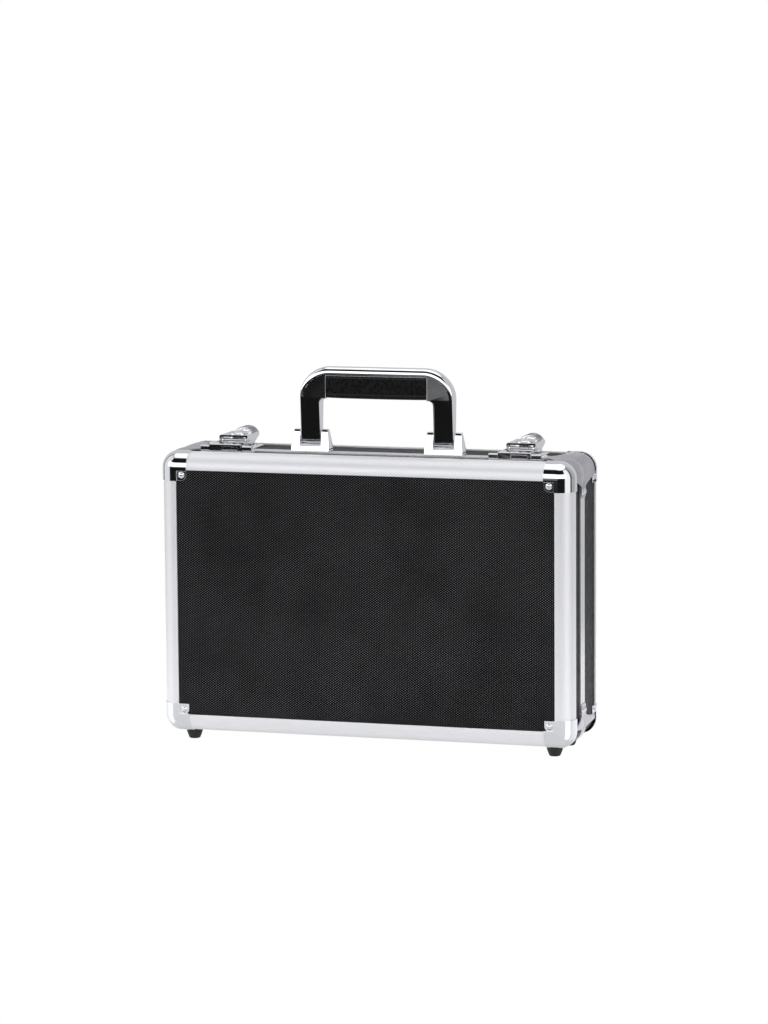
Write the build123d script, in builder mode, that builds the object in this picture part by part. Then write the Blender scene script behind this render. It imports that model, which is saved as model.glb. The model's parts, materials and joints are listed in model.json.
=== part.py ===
from build123d import *
import os

# Art supply box: an aluminium framed hard case, standing on its feet, closed, with its handle up.
# Millimetres, +Z up, X to the right, Y from the front to the rear.
# The origin is at the middle of the floor face of the four feet.

# ---------------------------------------------------------------- driving dimensions
case_width = 340.0
case_height = 226.0
case_depth = 91.0
lid_depth = 37.0
foot_height = 9.0

edge_radius = 13.0        # quarter round of the edge extrusions and of the case's outline
flange_width = 14.0       # how far an extrusion reaches over the panel and over the side board
flange_thickness = 1.5
board_thickness = 3.2     # panels and side boards
slot_bottom = 8.5         # depth from the case's edge to the bottom of a board slot
inner_flange = 1.2
slot_play = 0.2

cap_thickness = 0.7
cap_reach = 23.0          # along each edge, from the case's corner
cap_depth = 14.7
cap_tab_reach = 22.5
cap_rivet = (18.5, 18.0)  # from the side and from the top or bottom of the case
cap_tab_start = 15.0      # the base caps' tabs on the boards
cap_tab_width = 8.0
cap_tab_length = 7.6
cap_tab_hole = 4.2
cap_tab_sheet = 0.8       # thickness of the riveted tabs

rim_width = 6.35
rim_rise = 1.0            # the rim's outer skin, which lies on the boards
rim_web = 1.5
rim_inner_skin = 1.1
parting_gap = 0.3
tongue_inset = 2.4
tongue_thickness = 1.2
tongue_height = 1.4
groove_play = 0.4
groove_floor_play = 0.5

lining_inset = 6.0
lining_thickness = 1.5
lining_overlap = 4.0      # how far the lining reaches under the rim

cover_thickness = 1.0
cover_proud = 0.5         # its outer face, outside the case's edge
cover_side_reach = 31.0   # from the case's corner down the side
cover_top_reach = 36.5    # from the case's corner along the top or bottom
cover_taper_start = 15.0
foot_clear_start = 11.5   # the lower covers stop here, so that the feet stand beside them
cover_tab_width = 6.6
cover_tab_length = 9.0
cover_nose = 2.5          # length and width of the cut corner at a tab's end
cover_nose_width = 2.0
cover_rivet_inset = 5.0   # from the tab's end
lid_cover_width = 21.7
base_cover_width = 32.0

foot_inset_x = 19.5
foot_inset_y = 22.4
foot_top = 15.0
foot_bottom = 9.8
foot_round = 1.2

hinge_offset = 95.0
hinge_length = 36.0
hinge_barrel = 5.0
hinge_pin = 2.6
hinge_drop = 2.7          # from the rim's outer face down to the hinge axis
hinge_leaf = 1.2
hinge_leaf_reach = 14.5
hinge_gap = 0.3
hinge_leaf_start = 0.6    # from the parting plane
hinge_step_play = 0.35    # from the rim's edge to the step in the leaf
hinge_neck = 3.4          # length of the sheet that joins a knuckle to its leaf
hinge_neck_play = 0.2

bracket_spacing = 110.8
bracket_width = 32.0
bracket_depth = 12.5
bracket_height = 17.0
bracket_slot = 17.2
bracket_floor = 4.2
bracket_offset = 0.5      # behind the parting plane
bracket_toe = 3.0         # height of the upright foot of each cheek
bracket_shoulder = 2.0    # height of the bevel at the top of each cheek
bracket_lean = 3.4        # how far in the cheek's faces lean at the shoulder
bracket_crown = 4.6       # and at the top
bracket_pin_cover = 2.0   # metal outside each end of a pin
handle_pivot_height = 8.5
handle_pin = 4.0
handle_width = 127.0
handle_rise = 67.5
handle_depth = 12.0
handle_arm = 16.4
handle_eye = 3.6
handle_taper = 17.0
handle_bend = 24.0
grip_length = 83.5
grip_bottom = 42.0
grip_top = 60.3
grip_depth = 12.8
grip_core_depth = 6.0
grip_core_height = 12.0
grip_under_round = 4.5
grip_over_round = 1.2
handle_crown_round = 2.0
handle_inner_bend = 5.0

latch_offset = 119.5
latch_plate_width = 29.0
latch_plate_length = 31.0
latch_plate_gap = 0.5     # from the rim to the plate
latch_plate_round = 5.0
latch_sheet = 1.2
lever_pivot = (3.5, 6.5)  # behind the parting plane, above the case's top
claw_pivot = (11.5, 3.8)
lever_width = 23.8
lever_length = 30.0
lever_top = 10.7
lever_sheet = 1.4
lever_nose = 0.6          # ahead of the parting plane
lever_nose_drop = 2.4
lever_nose_lean = 1.4
lever_tail_drop = 2.6
lever_edge_round = 0.9
lever_ear_play = 0.3
finger_arch = (9.0, 8.6)  # half width and rise of the arched finger grip
finger_arch_height = 5.6  # of the arch's middle
finger_arch_floor = 7.9   # what lies under this height is open
finger_arch_length = 14.0
finger_arch_overlap = 4.0
lock_place = 13.0
lock_radius = 4.2
lock_boss = 5.6
lock_top = 12.4
lock_bottom = 4.4
lock_boss_floor = 4.6
lock_boss_step = 0.6
lock_proud = 0.3
lock_slot = (6.2, 1.3)    # the key slot
lock_slot_depth = 4.0
ear_half = 10.4
ear_radius = 2.5
ear_foot = 7.0            # behind the rim
ear_heel = 1.0
ear_toe = (0.6, 0.2)
ear_toe_height = 3.0
lever_half = 11.9
claw_half = 13.4
claw_reach = 20.9
claw_top = 6.0
claw_eye = 2.1
claw_floor = 0.2
claw_lip = 0.8            # thickness of the lip that hooks over the strike
claw_shoulder = 2.0       # where the arms reach full height, behind the parting plane
claw_bridge_start = 8.0   # where the top plate starts, ahead of it
claw_arm_drop = 3.4
claw_edge_round = 0.6
claw_opening_back = 14.0  # room for the lever between the arms
claw_opening_height = 12.0
claw_window = (13.5, 3.0)
claw_window_place = (3.6, 2.5)
latch_pin = 2.6
strike_width = 43.0
strike_wall = 4.5
strike_front = 19.3       # ahead of the parting plane
strike_back = 0.6         # ahead of the rim
strike_round = 3.0
strike_lip = 4.2
strike_lip_round = 0.9

rivet_head = 5.4
rivet_rise = 1.3
rivet_shank = 3.0
rivet_grip = 3.0
rivet_crown = 1.6         # a head's width over that of its flat top
running_play = 0.05
fit_play = 0.05
through = 8.0             # longer than any sheet that a hole goes through

# ---------------------------------------------------------------- places worked out from them
half_width = case_width / 2
bottom = foot_height
top = foot_height + case_height
middle = bottom + case_height / 2
front = -case_depth / 2
rear = case_depth / 2
parting = front + lid_depth
base_depth = case_depth - lid_depth
board_inner = flange_thickness + board_thickness
extrusion_inner = board_inner + inner_flange
board_surface = top - flange_thickness
rim_surface = top - flange_thickness + rim_rise
hinge_axis = bottom + flange_thickness - rim_rise - hinge_drop
handle_axis_y = parting + bracket_offset + bracket_depth / 2
handle_axis_z = top + handle_pivot_height

os.makedirs("parts", exist_ok=True)


def save(piece, name):
    """Label a finished piece and write it as its own STEP file."""
    piece.part.label = name
    export_step(piece.part, f"parts/{name}.step")


def outline(inset, y, toward):
    """The case's rounded outline, drawn inset from its edge, on a plane across the depth."""
    plane = Plane(origin=(0, y, middle), x_dir=(1, 0, 0), z_dir=(0, toward, 0))
    with BuildSketch(plane) as sketch:
        RectangleRounded(case_width - 2 * inset, case_height - 2 * inset, edge_radius - inset)
    return sketch.sketch


def rivets_at(places, head, rise):
    """Dome headed rivets: the head stands on each place and the shank goes into it."""
    with BuildPart() as rivets:
        with Locations(*places):
            Cylinder(rivet_shank / 2, rivet_grip, align=(Align.CENTER, Align.CENTER, Align.MAX))
            Cone(head / 2, head / 2 / rivet_crown, rise, align=(Align.CENTER, Align.CENTER, Align.MIN))
    return rivets.part


def punch(places):
    """Holes for the rivet shanks, cut in the piece being built."""
    with Locations(*places):
        Cylinder(
            rivet_shank / 2,
            rivet_grip,
            align=(Align.CENTER, Align.CENTER, Align.MAX),
            mode=Mode.SUBTRACT,
        )


def facing(x, y, z, direction):
    """A place whose local Z points along direction."""
    return Plane(origin=(x, y, z), z_dir=direction).location


# ---------------------------------------------------------------- masters, in the corner's own axes
# The corner is at the origin, X runs inward from the side, Z inward from the top,
# and Y from the panel toward the parting plane.

with BuildPart() as cap_master:
    with Locations((-cap_thickness,) * 3):
        Box(
            cap_reach + cap_thickness,
            cap_depth + cap_thickness,
            cap_reach + cap_thickness,
            align=(Align.MIN,) * 3,
        )
    outer_edges = [
        cap_master.edges().filter_by(axis).sort_by(lambda e: e.center().length)[0]
        for axis in (Axis.X, Axis.Y, Axis.Z)
    ]
    fillet(outer_edges, edge_radius + cap_thickness)
with BuildPart() as cap_hollow:
    Box(cap_reach + through, cap_depth + through, cap_reach + through, align=(Align.MIN,) * 3)
    inner_edges = [
        cap_hollow.edges().filter_by(axis).sort_by(lambda e: e.center().length)[0]
        for axis in (Axis.X, Axis.Y, Axis.Z)
    ]
    fillet(inner_edges, edge_radius)

cap_lip = flange_width + cap_tab_sheet


def corner_cap(board_tabs):
    """The three way corner cap: a riveted tab on the panel, and any on the side or level board."""
    with BuildPart() as cap:
        add(cap_master.part)
        add(cap_hollow.part, mode=Mode.SUBTRACT)
        with Locations((cap_lip, -through / 2, cap_lip)):
            Box(
                cap_reach,
                through / 2 + flange_thickness,
                cap_reach,
                align=(Align.MIN,) * 3,
                mode=Mode.SUBTRACT,
            )
        tab_plane = Plane(
            origin=(flange_width, flange_thickness, flange_width), x_dir=(1, 0, 0), z_dir=(0, -1, 0)
        )
        tab = cap_tab_reach - flange_width
        with BuildSketch(tab_plane) as tab_outline:
            Rectangle(tab, tab, align=(Align.MIN, Align.MIN))
            far_corner = tab_outline.vertices().sort_by(lambda v: v.X + v.Z)[-1]
            fillet(far_corner, tab / 2)
        extrude(amount=cap_tab_sheet)
        lip = cap_lip - flange_width
        lip_depth = flange_thickness + cap_thickness
        with Locations((flange_width, -cap_thickness, flange_width)):
            Box(lip, lip_depth, cap_reach - flange_width, align=(Align.MIN,) * 3)
            Box(cap_reach - flange_width, lip_depth, lip, align=(Align.MIN,) * 3)
        with Locations(facing(cap_rivet[0], flange_thickness - cap_tab_sheet, cap_rivet[1], (0, -1, 0))):
            Cylinder(rivet_shank / 2, through, mode=Mode.SUBTRACT)
        for board in board_tabs:
            on_side = board == "side"
            step = (lip_depth, lip, cap_tab_width)
            plate = (cap_tab_sheet, cap_tab_length, cap_tab_width)
            step_low = (-cap_thickness, flange_width, cap_tab_start)
            plate_low = (flange_thickness - cap_tab_sheet, flange_width, cap_tab_start)
            hole = (flange_thickness, flange_width + cap_tab_hole, cap_tab_start + cap_tab_width / 2)
            if not on_side:
                step, plate, step_low = step[::-1], plate[::-1], step_low[::-1]
                plate_low, hole = plate_low[::-1], hole[::-1]
            with Locations(step_low):
                Box(*step, align=(Align.MIN,) * 3)
            with Locations(plate_low):
                Box(*plate, align=(Align.MIN,) * 3)
            with Locations(facing(*hole, (1, 0, 0) if on_side else (0, 0, 1))):
                Cylinder(rivet_shank / 2, through, mode=Mode.SUBTRACT)
    return cap.part


def corner_cover(width, level_start):
    """The bent plate round a corner of one half; its two ends narrow to tabs on the rim."""
    corner = (edge_radius, edge_radius)
    outer = edge_radius + cover_proud
    inner = outer - cover_thickness
    wall_face = -cover_proud
    wall_back = cover_thickness - cover_proud
    wall_plane = Plane(origin=(0, 0, 0), x_dir=(1, 0, 0), z_dir=(0, -1, 0))
    with BuildPart() as cover:
        with BuildSketch(wall_plane):
            with BuildLine():
                Line((wall_face, cover_side_reach), (wall_face, edge_radius))
                CenterArc(corner, outer, 180, 90)
                Line((edge_radius, wall_face), (cover_top_reach, wall_face))
                Line((cover_top_reach, wall_face), (cover_top_reach, wall_back))
                Line((cover_top_reach, wall_back), (edge_radius, wall_back))
                CenterArc(corner, inner, 180, 90)
                Line((wall_back, edge_radius), (wall_back, cover_side_reach))
                Line((wall_back, cover_side_reach), (wall_face, cover_side_reach))
            make_face()
        extrude(amount=width)
        side_cut = Plane((0, 0, 0), x_dir=(0, 0, 1), z_dir=(1, 0, 0))
        level_cut = Plane((0, 0, 0), x_dir=(1, 0, 0), z_dir=(0, 0, -1))
        for start, reach, plane in (
            (cover_taper_start, cover_side_reach, side_cut),
            (level_start, cover_top_reach, level_cut),
        ):
            taper_end = reach - cover_tab_length if start == cover_taper_start else start + fit_play
            clear = reach + cover_nose
            with BuildSketch(plane):
                with BuildLine():
                    Polyline(
                        (start, width + 1),
                        (start, width),
                        (taper_end, cover_tab_width),
                        (reach - cover_nose, cover_tab_width),
                        (reach, cover_tab_width - cover_nose_width),
                        (clear, cover_tab_width - cover_nose_width),
                        (clear, width + 1),
                        (start, width + 1),
                    )
                make_face()
            extrude(amount=2 * cover_thickness, both=True, mode=Mode.SUBTRACT)
    return cover.part


cap_masters = {
    ("lid", 1): corner_cap(()),
    ("lid", -1): corner_cap(()),
    ("base", 1): corner_cap(("side", "level")),
    ("base", -1): corner_cap(("side",)),
}
cover_masters = {
    (half, up): corner_cover(width, start)
    for half, width in (("lid", lid_cover_width), ("base", base_cover_width))
    for up, start in ((1, cover_taper_start), (-1, foot_clear_start))
}
corners = {
    "top_left": (-1, 1),
    "top_right": (1, 1),
    "bottom_left": (-1, -1),
    "bottom_right": (1, -1),
}


def put_in_corner(master, side, up, face, toward):
    """Turn a corner piece from its own axes into one of the eight corners of the case."""
    piece = master
    for flip, about in ((side > 0, Plane.YZ), (up > 0, Plane.XY), (toward < 0, Plane.XZ)):
        if flip:
            piece = mirror(piece, about=about, mode=Mode.PRIVATE)
    return Pos(side * half_width, face, middle + up * case_height / 2) * piece


# ---------------------------------------------------------------- the two halves
for half, face, toward, depth in (("lid", front, 1, lid_depth), ("base", rear, -1, base_depth)):
    is_lid = half == "lid"
    join = parting - toward * parting_gap / 2
    rim_inner_end = join - toward * rim_width
    web = rim_web if is_lid else rim_web + tongue_height + groove_floor_play
    board_start = face + toward * (slot_bottom + slot_play)
    board_end = join - toward * (web + fit_play)
    board_middle = (board_start + board_end) / 2
    board_width = abs(board_end - board_start)
    panel_surface = face + toward * flange_thickness
    tab_surface = panel_surface - toward * cap_tab_sheet

    # rivet places, heads outward
    cap_rivets = [
        facing(
            side * (half_width - cap_rivet[0]),
            tab_surface,
            middle + up * (case_height / 2 - cap_rivet[1]),
            (0, -toward, 0),
        )
        for side, up in corners.values()
    ]
    cover_rivet_y = join - toward * cover_tab_width / 2
    side_cover_rivets = [
        facing(
            side * (half_width + cover_proud),
            cover_rivet_y,
            middle + up * (case_height / 2 - cover_side_reach + cover_rivet_inset),
            (side, 0, 0),
        )
        for side, up in corners.values()
    ]
    level_cover_rivets = [
        facing(
            side * (half_width - cover_top_reach + cover_rivet_inset),
            cover_rivet_y,
            middle + up * (case_height / 2 + cover_proud),
            (0, 0, up),
        )
        for side, up in corners.values()
    ]
    cover_rivets = side_cover_rivets + level_cover_rivets
    side_cap_rivets = []
    level_cap_rivets = []
    if not is_lid:
        cap_rivet_y = face + toward * (flange_width + cap_tab_hole)
        tab_height = flange_thickness - cap_tab_sheet
        side_cap_rivets = [
            facing(
                side * (half_width - tab_height),
                cap_rivet_y,
                middle + up * (case_height / 2 - cap_tab_start - cap_tab_width / 2),
                (side, 0, 0),
            )
            for side, up in corners.values()
        ]
        level_cap_rivets = [
            facing(
                side * (half_width - cap_tab_start - cap_tab_width / 2),
                cap_rivet_y,
                top - tab_height,
                (0, 0, 1),
            )
            for side in (-1, 1)
        ]
    all_rivets = cap_rivets + cover_rivets + side_cap_rivets + level_cap_rivets

    with BuildPart() as panel:
        panel_plane = Plane(origin=(0, panel_surface, middle), x_dir=(1, 0, 0), z_dir=(0, toward, 0))
        with BuildSketch(panel_plane):
            Rectangle(
                case_width - 2 * (slot_bottom + slot_play), case_height - 2 * (slot_bottom + slot_play)
            )
        extrude(amount=board_thickness)
        punch(cap_rivets)
    save(panel, f"{half}_panel")

    board_inset = flange_thickness + board_thickness / 2
    for name, size, place in (
        (
            "top",
            (case_width - 2 * edge_radius, board_width, board_thickness),
            (0, board_middle, top - board_inset),
        ),
        (
            "bottom",
            (case_width - 2 * edge_radius, board_width, board_thickness),
            (0, board_middle, bottom + board_inset),
        ),
        (
            "left",
            (board_thickness, board_width, case_height - 2 * edge_radius),
            (-half_width + board_inset, board_middle, middle),
        ),
        (
            "right",
            (board_thickness, board_width, case_height - 2 * edge_radius),
            (half_width - board_inset, board_middle, middle),
        ),
    ):
        with BuildPart() as board:
            with Locations(place):
                Box(*size)
            punch(all_rivets)
        save(board, f"{half}_{name}_board")

    # quarter bent corner posts that join the boards
    with BuildPart() as posts:
        for side, up in corners.values():
            post_plane = Plane(
                origin=(
                    side * (half_width - edge_radius),
                    board_start,
                    middle + up * (case_height / 2 - edge_radius),
                ),
                x_dir=(side, 0, 0),
                z_dir=(0, toward, 0),
            )
            post_up = up if post_plane.y_dir.Z > 0 else -up
            with BuildSketch(post_plane) as post_profile:
                with BuildLine():
                    start = 0 if post_up > 0 else -90
                    outer_arc = CenterArc((0, 0), edge_radius - flange_thickness, start, 90)
                    inner_arc = CenterArc((0, 0), edge_radius - board_inner, start, 90)
                    Line(outer_arc @ 0, inner_arc @ 0)
                    Line(outer_arc @ 1, inner_arc @ 1)
                make_face()
            extrude(amount=board_width)
    save(posts, f"{half}_corner_posts")

    # edge extrusions: a quarter round with flanges, and slots that hold the panel and a board
    inset = flange_width + slot_play
    v_dir = Vector(0, toward, 0)
    for name, spot, u_dir, length in (
        ("top", (0, face, top), (0, 0, -1), case_width - 2 * inset),
        ("bottom", (0, face, bottom), (0, 0, 1), case_width - 2 * inset),
        ("left", (-half_width, face, middle), (1, 0, 0), case_height - 2 * inset),
        ("right", (half_width, face, middle), (-1, 0, 0), case_height - 2 * inset),
    ):
        along = Vector(*u_dir).cross(v_dir)
        with BuildPart() as extrusion:
            with BuildSketch(Plane(origin=spot, x_dir=u_dir, z_dir=along)):
                with BuildLine():
                    Line((0, flange_width), (0, edge_radius))
                    CenterArc((edge_radius, edge_radius), edge_radius, 180, 90)
                    Polyline(
                        (edge_radius, 0),
                        (flange_width, 0),
                        (flange_width, flange_thickness),
                        (slot_bottom, flange_thickness),
                        (slot_bottom, board_inner),
                        (flange_width, board_inner),
                        (flange_width, extrusion_inner),
                        (extrusion_inner, extrusion_inner),
                        (extrusion_inner, flange_width),
                        (board_inner, flange_width),
                        (board_inner, slot_bottom),
                        (flange_thickness, slot_bottom),
                        (flange_thickness, flange_width),
                        (0, flange_width),
                    )
                make_face()
            extrude(amount=length / 2, both=True)
        save(extrusion, f"{half}_{name}_extrusion")

    for name, (side, up) in corners.items():
        with BuildPart() as cap:
            add(put_in_corner(cap_masters[half, up], side, up, face, toward))
        save(cap, f"{half}_{name}_cap")

    # rim: the closure profile, bent round the outline, gripping the boards' edges
    rim_outer = flange_thickness - rim_rise
    rim_inner = board_inner + rim_inner_skin
    with BuildPart() as rim:
        extrude(outline(rim_outer, rim_inner_end, toward), amount=rim_width)
        extrude(outline(rim_inner, rim_inner_end, toward), amount=rim_width, mode=Mode.SUBTRACT)
        extrude(
            outline(flange_thickness, rim_inner_end, toward) - outline(board_inner, rim_inner_end, toward),
            amount=rim_width - web,
            mode=Mode.SUBTRACT,
        )
        if is_lid:
            extrude(
                outline(tongue_inset, join, toward)
                - outline(tongue_inset + tongue_thickness, join, toward),
                amount=parting_gap + tongue_height,
            )
        else:
            extrude(
                outline(tongue_inset - groove_play, join, -toward)
                - outline(tongue_inset + tongue_thickness + groove_play, join, -toward),
                amount=tongue_height + groove_floor_play,
                mode=Mode.SUBTRACT,
            )
        punch(cover_rivets)
    save(rim, f"{half}_rim")

    with BuildPart() as covers:
        for side, up in corners.values():
            add(put_in_corner(cover_masters[half, up], side, up, join, toward))
        punch(cover_rivets)
    save(covers, f"{half}_corner_covers")

    with BuildPart() as lining:
        lining_face = face + toward * lining_inset
        lining_end = rim_inner_end + toward * lining_overlap
        extrude(outline(lining_inset, lining_face, toward), amount=abs(lining_end - lining_face))
        extrude(
            outline(lining_inset + lining_thickness, lining_face + toward * lining_thickness, toward),
            amount=case_depth,
            mode=Mode.SUBTRACT,
        )
    save(lining, f"{half}_lining")

    for name, side in (("left", -1), ("right", 1)):
        with BuildPart() as foot:
            with Locations(
                (side * (half_width - foot_inset_x), face + toward * foot_inset_y, 0)
            ):
                Cone(
                    foot_bottom / 2,
                    foot_top / 2,
                    foot_height + flange_thickness,
                    align=(Align.CENTER, Align.CENTER, Align.MIN),
                )
            fillet(foot.faces().sort_by(Axis.Z)[0].edges(), foot_round)
        save(foot, f"{half}_{name}_foot")

    with BuildPart() as rivets:
        add(rivets_at(all_rivets, rivet_head, rivet_rise))
    save(rivets, f"{half}_rivets")

# ---------------------------------------------------------------- hinges, under the parting plane
hinge_places = (-hinge_offset, hinge_offset)
knuckle = hinge_length / 3
leaf_top = bottom + flange_thickness - rim_rise


def hinge_leaf_part(toward, centres, length):
    """One side of the two hinges: a leaf on the rim and board, and its knuckles."""
    with BuildPart() as leaf:
        for place in hinge_places:
            step = rim_width + hinge_step_play
            with BuildSketch(Plane(origin=(place, parting, 0), x_dir=(0, toward, 0), z_dir=(toward, 0, 0))):
                with BuildLine():
                    Polyline(
                        (hinge_leaf_start, leaf_top - hinge_leaf),
                        (hinge_leaf_reach, leaf_top - hinge_leaf),
                        (hinge_leaf_reach, leaf_top + rim_rise),
                        (step, leaf_top + rim_rise),
                        (step, leaf_top),
                        (hinge_leaf_start, leaf_top),
                        (hinge_leaf_start, leaf_top - hinge_leaf),
                    )
                make_face()
            extrude(amount=hinge_length / 2, both=True)
            with BuildSketch(Plane(origin=(place, parting, hinge_axis), x_dir=(0, 1, 0), z_dir=(1, 0, 0))):
                Circle(hinge_barrel / 2 + hinge_gap)
            extrude(amount=hinge_length, both=True, mode=Mode.SUBTRACT)
            for centre in centres:
                knuckle_plane = Plane(
                    origin=(place + centre, parting, hinge_axis), x_dir=(0, toward, 0), z_dir=(toward, 0, 0)
                )
                with BuildSketch(knuckle_plane):
                    Circle(hinge_barrel / 2)
                    neck_height = leaf_top - hinge_leaf / 2 - hinge_axis
                    with Locations((hinge_barrel / 2 + hinge_neck_play, neck_height)):
                        Rectangle(hinge_neck, hinge_leaf)
                extrude(amount=length / 2, both=True)
            with BuildSketch(Plane(origin=(place, parting, hinge_axis), x_dir=(0, 1, 0), z_dir=(1, 0, 0))):
                bore = hinge_pin / 2 + (running_play if toward < 0 else 0)
                Circle(bore)
            extrude(amount=hinge_length, both=True, mode=Mode.SUBTRACT)
    return leaf


lid_leaves = hinge_leaf_part(-1, (0,), knuckle - 2 * hinge_gap)
save(lid_leaves, "lid_hinge_leaves")
base_leaves = hinge_leaf_part(1, (-knuckle, knuckle), knuckle)
save(base_leaves, "base_hinge_leaves")

with BuildPart() as hinge_pins:
    for place in hinge_places:
        with Locations(facing(place, parting, hinge_axis, (1, 0, 0))):
            Cylinder(hinge_pin / 2, hinge_length)
save(hinge_pins, "hinge_pins")

# ---------------------------------------------------------------- handle and its brackets
bracket_front = parting + bracket_offset
handle_pin_length = bracket_width - 2 * bracket_pin_cover
with BuildPart() as brackets:
    for side in (-1, 1):
        centre = side * bracket_spacing / 2
        with BuildSketch(Plane(origin=(centre, bracket_front, top), x_dir=(0, 1, 0), z_dir=(1, 0, 0))):
            with BuildLine():
                Polyline(
                    (0, rim_surface - top),
                    (0, bracket_toe),
                    (bracket_lean, bracket_height - bracket_shoulder),
                    (bracket_crown, bracket_height),
                    (bracket_depth - bracket_crown, bracket_height),
                    (bracket_depth - bracket_lean, bracket_height - bracket_shoulder),
                    (bracket_depth, bracket_toe),
                    (bracket_depth, board_surface - top),
                    (rim_width, board_surface - top),
                    (rim_width, rim_surface - top),
                    (0, rim_surface - top),
                )
            make_face()
        extrude(amount=bracket_width / 2, both=True)
        with BuildSketch(Plane(origin=(centre, 0, top + bracket_floor), z_dir=(0, 0, 1))):
            Rectangle(bracket_slot, case_depth)
        extrude(amount=bracket_height, mode=Mode.SUBTRACT)
        with Locations(facing(centre, handle_axis_y, handle_axis_z, (1, 0, 0))):
            Cylinder(handle_pin / 2, handle_pin_length, mode=Mode.SUBTRACT)
save(brackets, "handle_brackets")

with BuildPart() as handle_pins:
    for side in (-1, 1):
        centre = side * bracket_spacing / 2
        with Locations(facing(centre, handle_axis_y, handle_axis_z, (1, 0, 0))):
            Cylinder(handle_pin / 2, handle_pin_length)
save(handle_pins, "handle_pins")

grip_core = (grip_length, grip_core_depth, grip_core_height)
core_middle = top + grip_top - grip_core_height / 2
arm_length = handle_rise - handle_pivot_height + handle_eye
with BuildPart() as handle_frame:
    handle_plane = Plane(origin=(0, handle_axis_y, top), x_dir=(1, 0, 0), z_dir=(0, -1, 0))
    with BuildSketch(handle_plane) as handle_outline:
        with Locations((0, handle_rise)):
            Rectangle(handle_width, arm_length, align=(Align.CENTER, Align.MAX))
        fillet(handle_outline.vertices().group_by(Axis.Z)[-1], handle_bend)
        arm_gap = handle_width - 2 * handle_arm
        with BuildSketch(handle_plane, mode=Mode.SUBTRACT) as handle_opening:
            with Locations((0, 0)):
                Rectangle(arm_gap, grip_bottom, align=(Align.CENTER, Align.MIN))
            fillet(handle_opening.vertices().group_by(Axis.Z)[-1], handle_inner_bend)
        with Locations((0, (grip_bottom + grip_top) / 2)):
            Rectangle(grip_length, grip_top - grip_bottom, mode=Mode.SUBTRACT)
    extrude(amount=handle_depth / 2, both=True)
    crown_edges = handle_frame.faces().filter_by(Axis.Z).sort_by(Axis.Z)[-1].edges().filter_by(Axis.X)
    fillet(crown_edges, handle_crown_round)
    side_plane = Plane(origin=(0, handle_axis_y, handle_axis_z), x_dir=(0, 1, 0), z_dir=(1, 0, 0))
    for way in (-1, 1):
        with BuildSketch(side_plane):
            with BuildLine():
                Polyline(
                    (way * handle_eye, -2 * handle_eye),
                    (way * handle_eye, 0),
                    (way * handle_depth / 2, handle_taper),
                    (way * handle_depth, handle_taper),
                    (way * handle_depth, -2 * handle_eye),
                    (way * handle_eye, -2 * handle_eye),
                )
            make_face()
        extrude(amount=handle_width, both=True, mode=Mode.SUBTRACT)
    with BuildSketch(side_plane):
        with Locations((0, -handle_eye)):
            Rectangle(3 * handle_eye, 2 * handle_eye)
        Circle(handle_eye, mode=Mode.SUBTRACT)
    extrude(amount=handle_width, both=True, mode=Mode.SUBTRACT)
    with BuildSketch(side_plane):
        Circle(handle_pin / 2 + running_play)
    extrude(amount=handle_width, both=True, mode=Mode.SUBTRACT)
    with Locations((0, handle_axis_y, core_middle)):
        Box(*grip_core)
save(handle_frame, "handle_frame")

with BuildPart() as grip:
    grip_middle = top + (grip_bottom + grip_top) / 2
    with Locations((0, handle_axis_y, grip_middle)):
        Box(grip_length, grip_depth, grip_top - grip_bottom)
    fillet(grip.edges().filter_by(Axis.X).group_by(Axis.Z)[0], grip_under_round)
    fillet(grip.edges().filter_by(Axis.X).group_by(Axis.Z)[-1], grip_over_round)
    with Locations((0, handle_axis_y, core_middle)):
        Box(*grip_core, mode=Mode.SUBTRACT)
save(grip, "handle_grip")

# ---------------------------------------------------------------- latches
# Local axes of a latch: X across it, Y behind the parting plane, Z above the case's top.
plate_start = rim_width + latch_plate_gap
plate_face = board_surface - top
lever_floor = lever_top - lever_sheet
lever_lift = claw_pivot[1] - 2.0
lip_back = -claw_reach + claw_lip


def across_latch(x):
    """The plane across a latch at x: its X is the latch's Y and its Y the latch's Z."""
    return Plane(origin=(x, parting, top), x_dir=(0, 1, 0), z_dir=(1, 0, 0))


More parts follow.
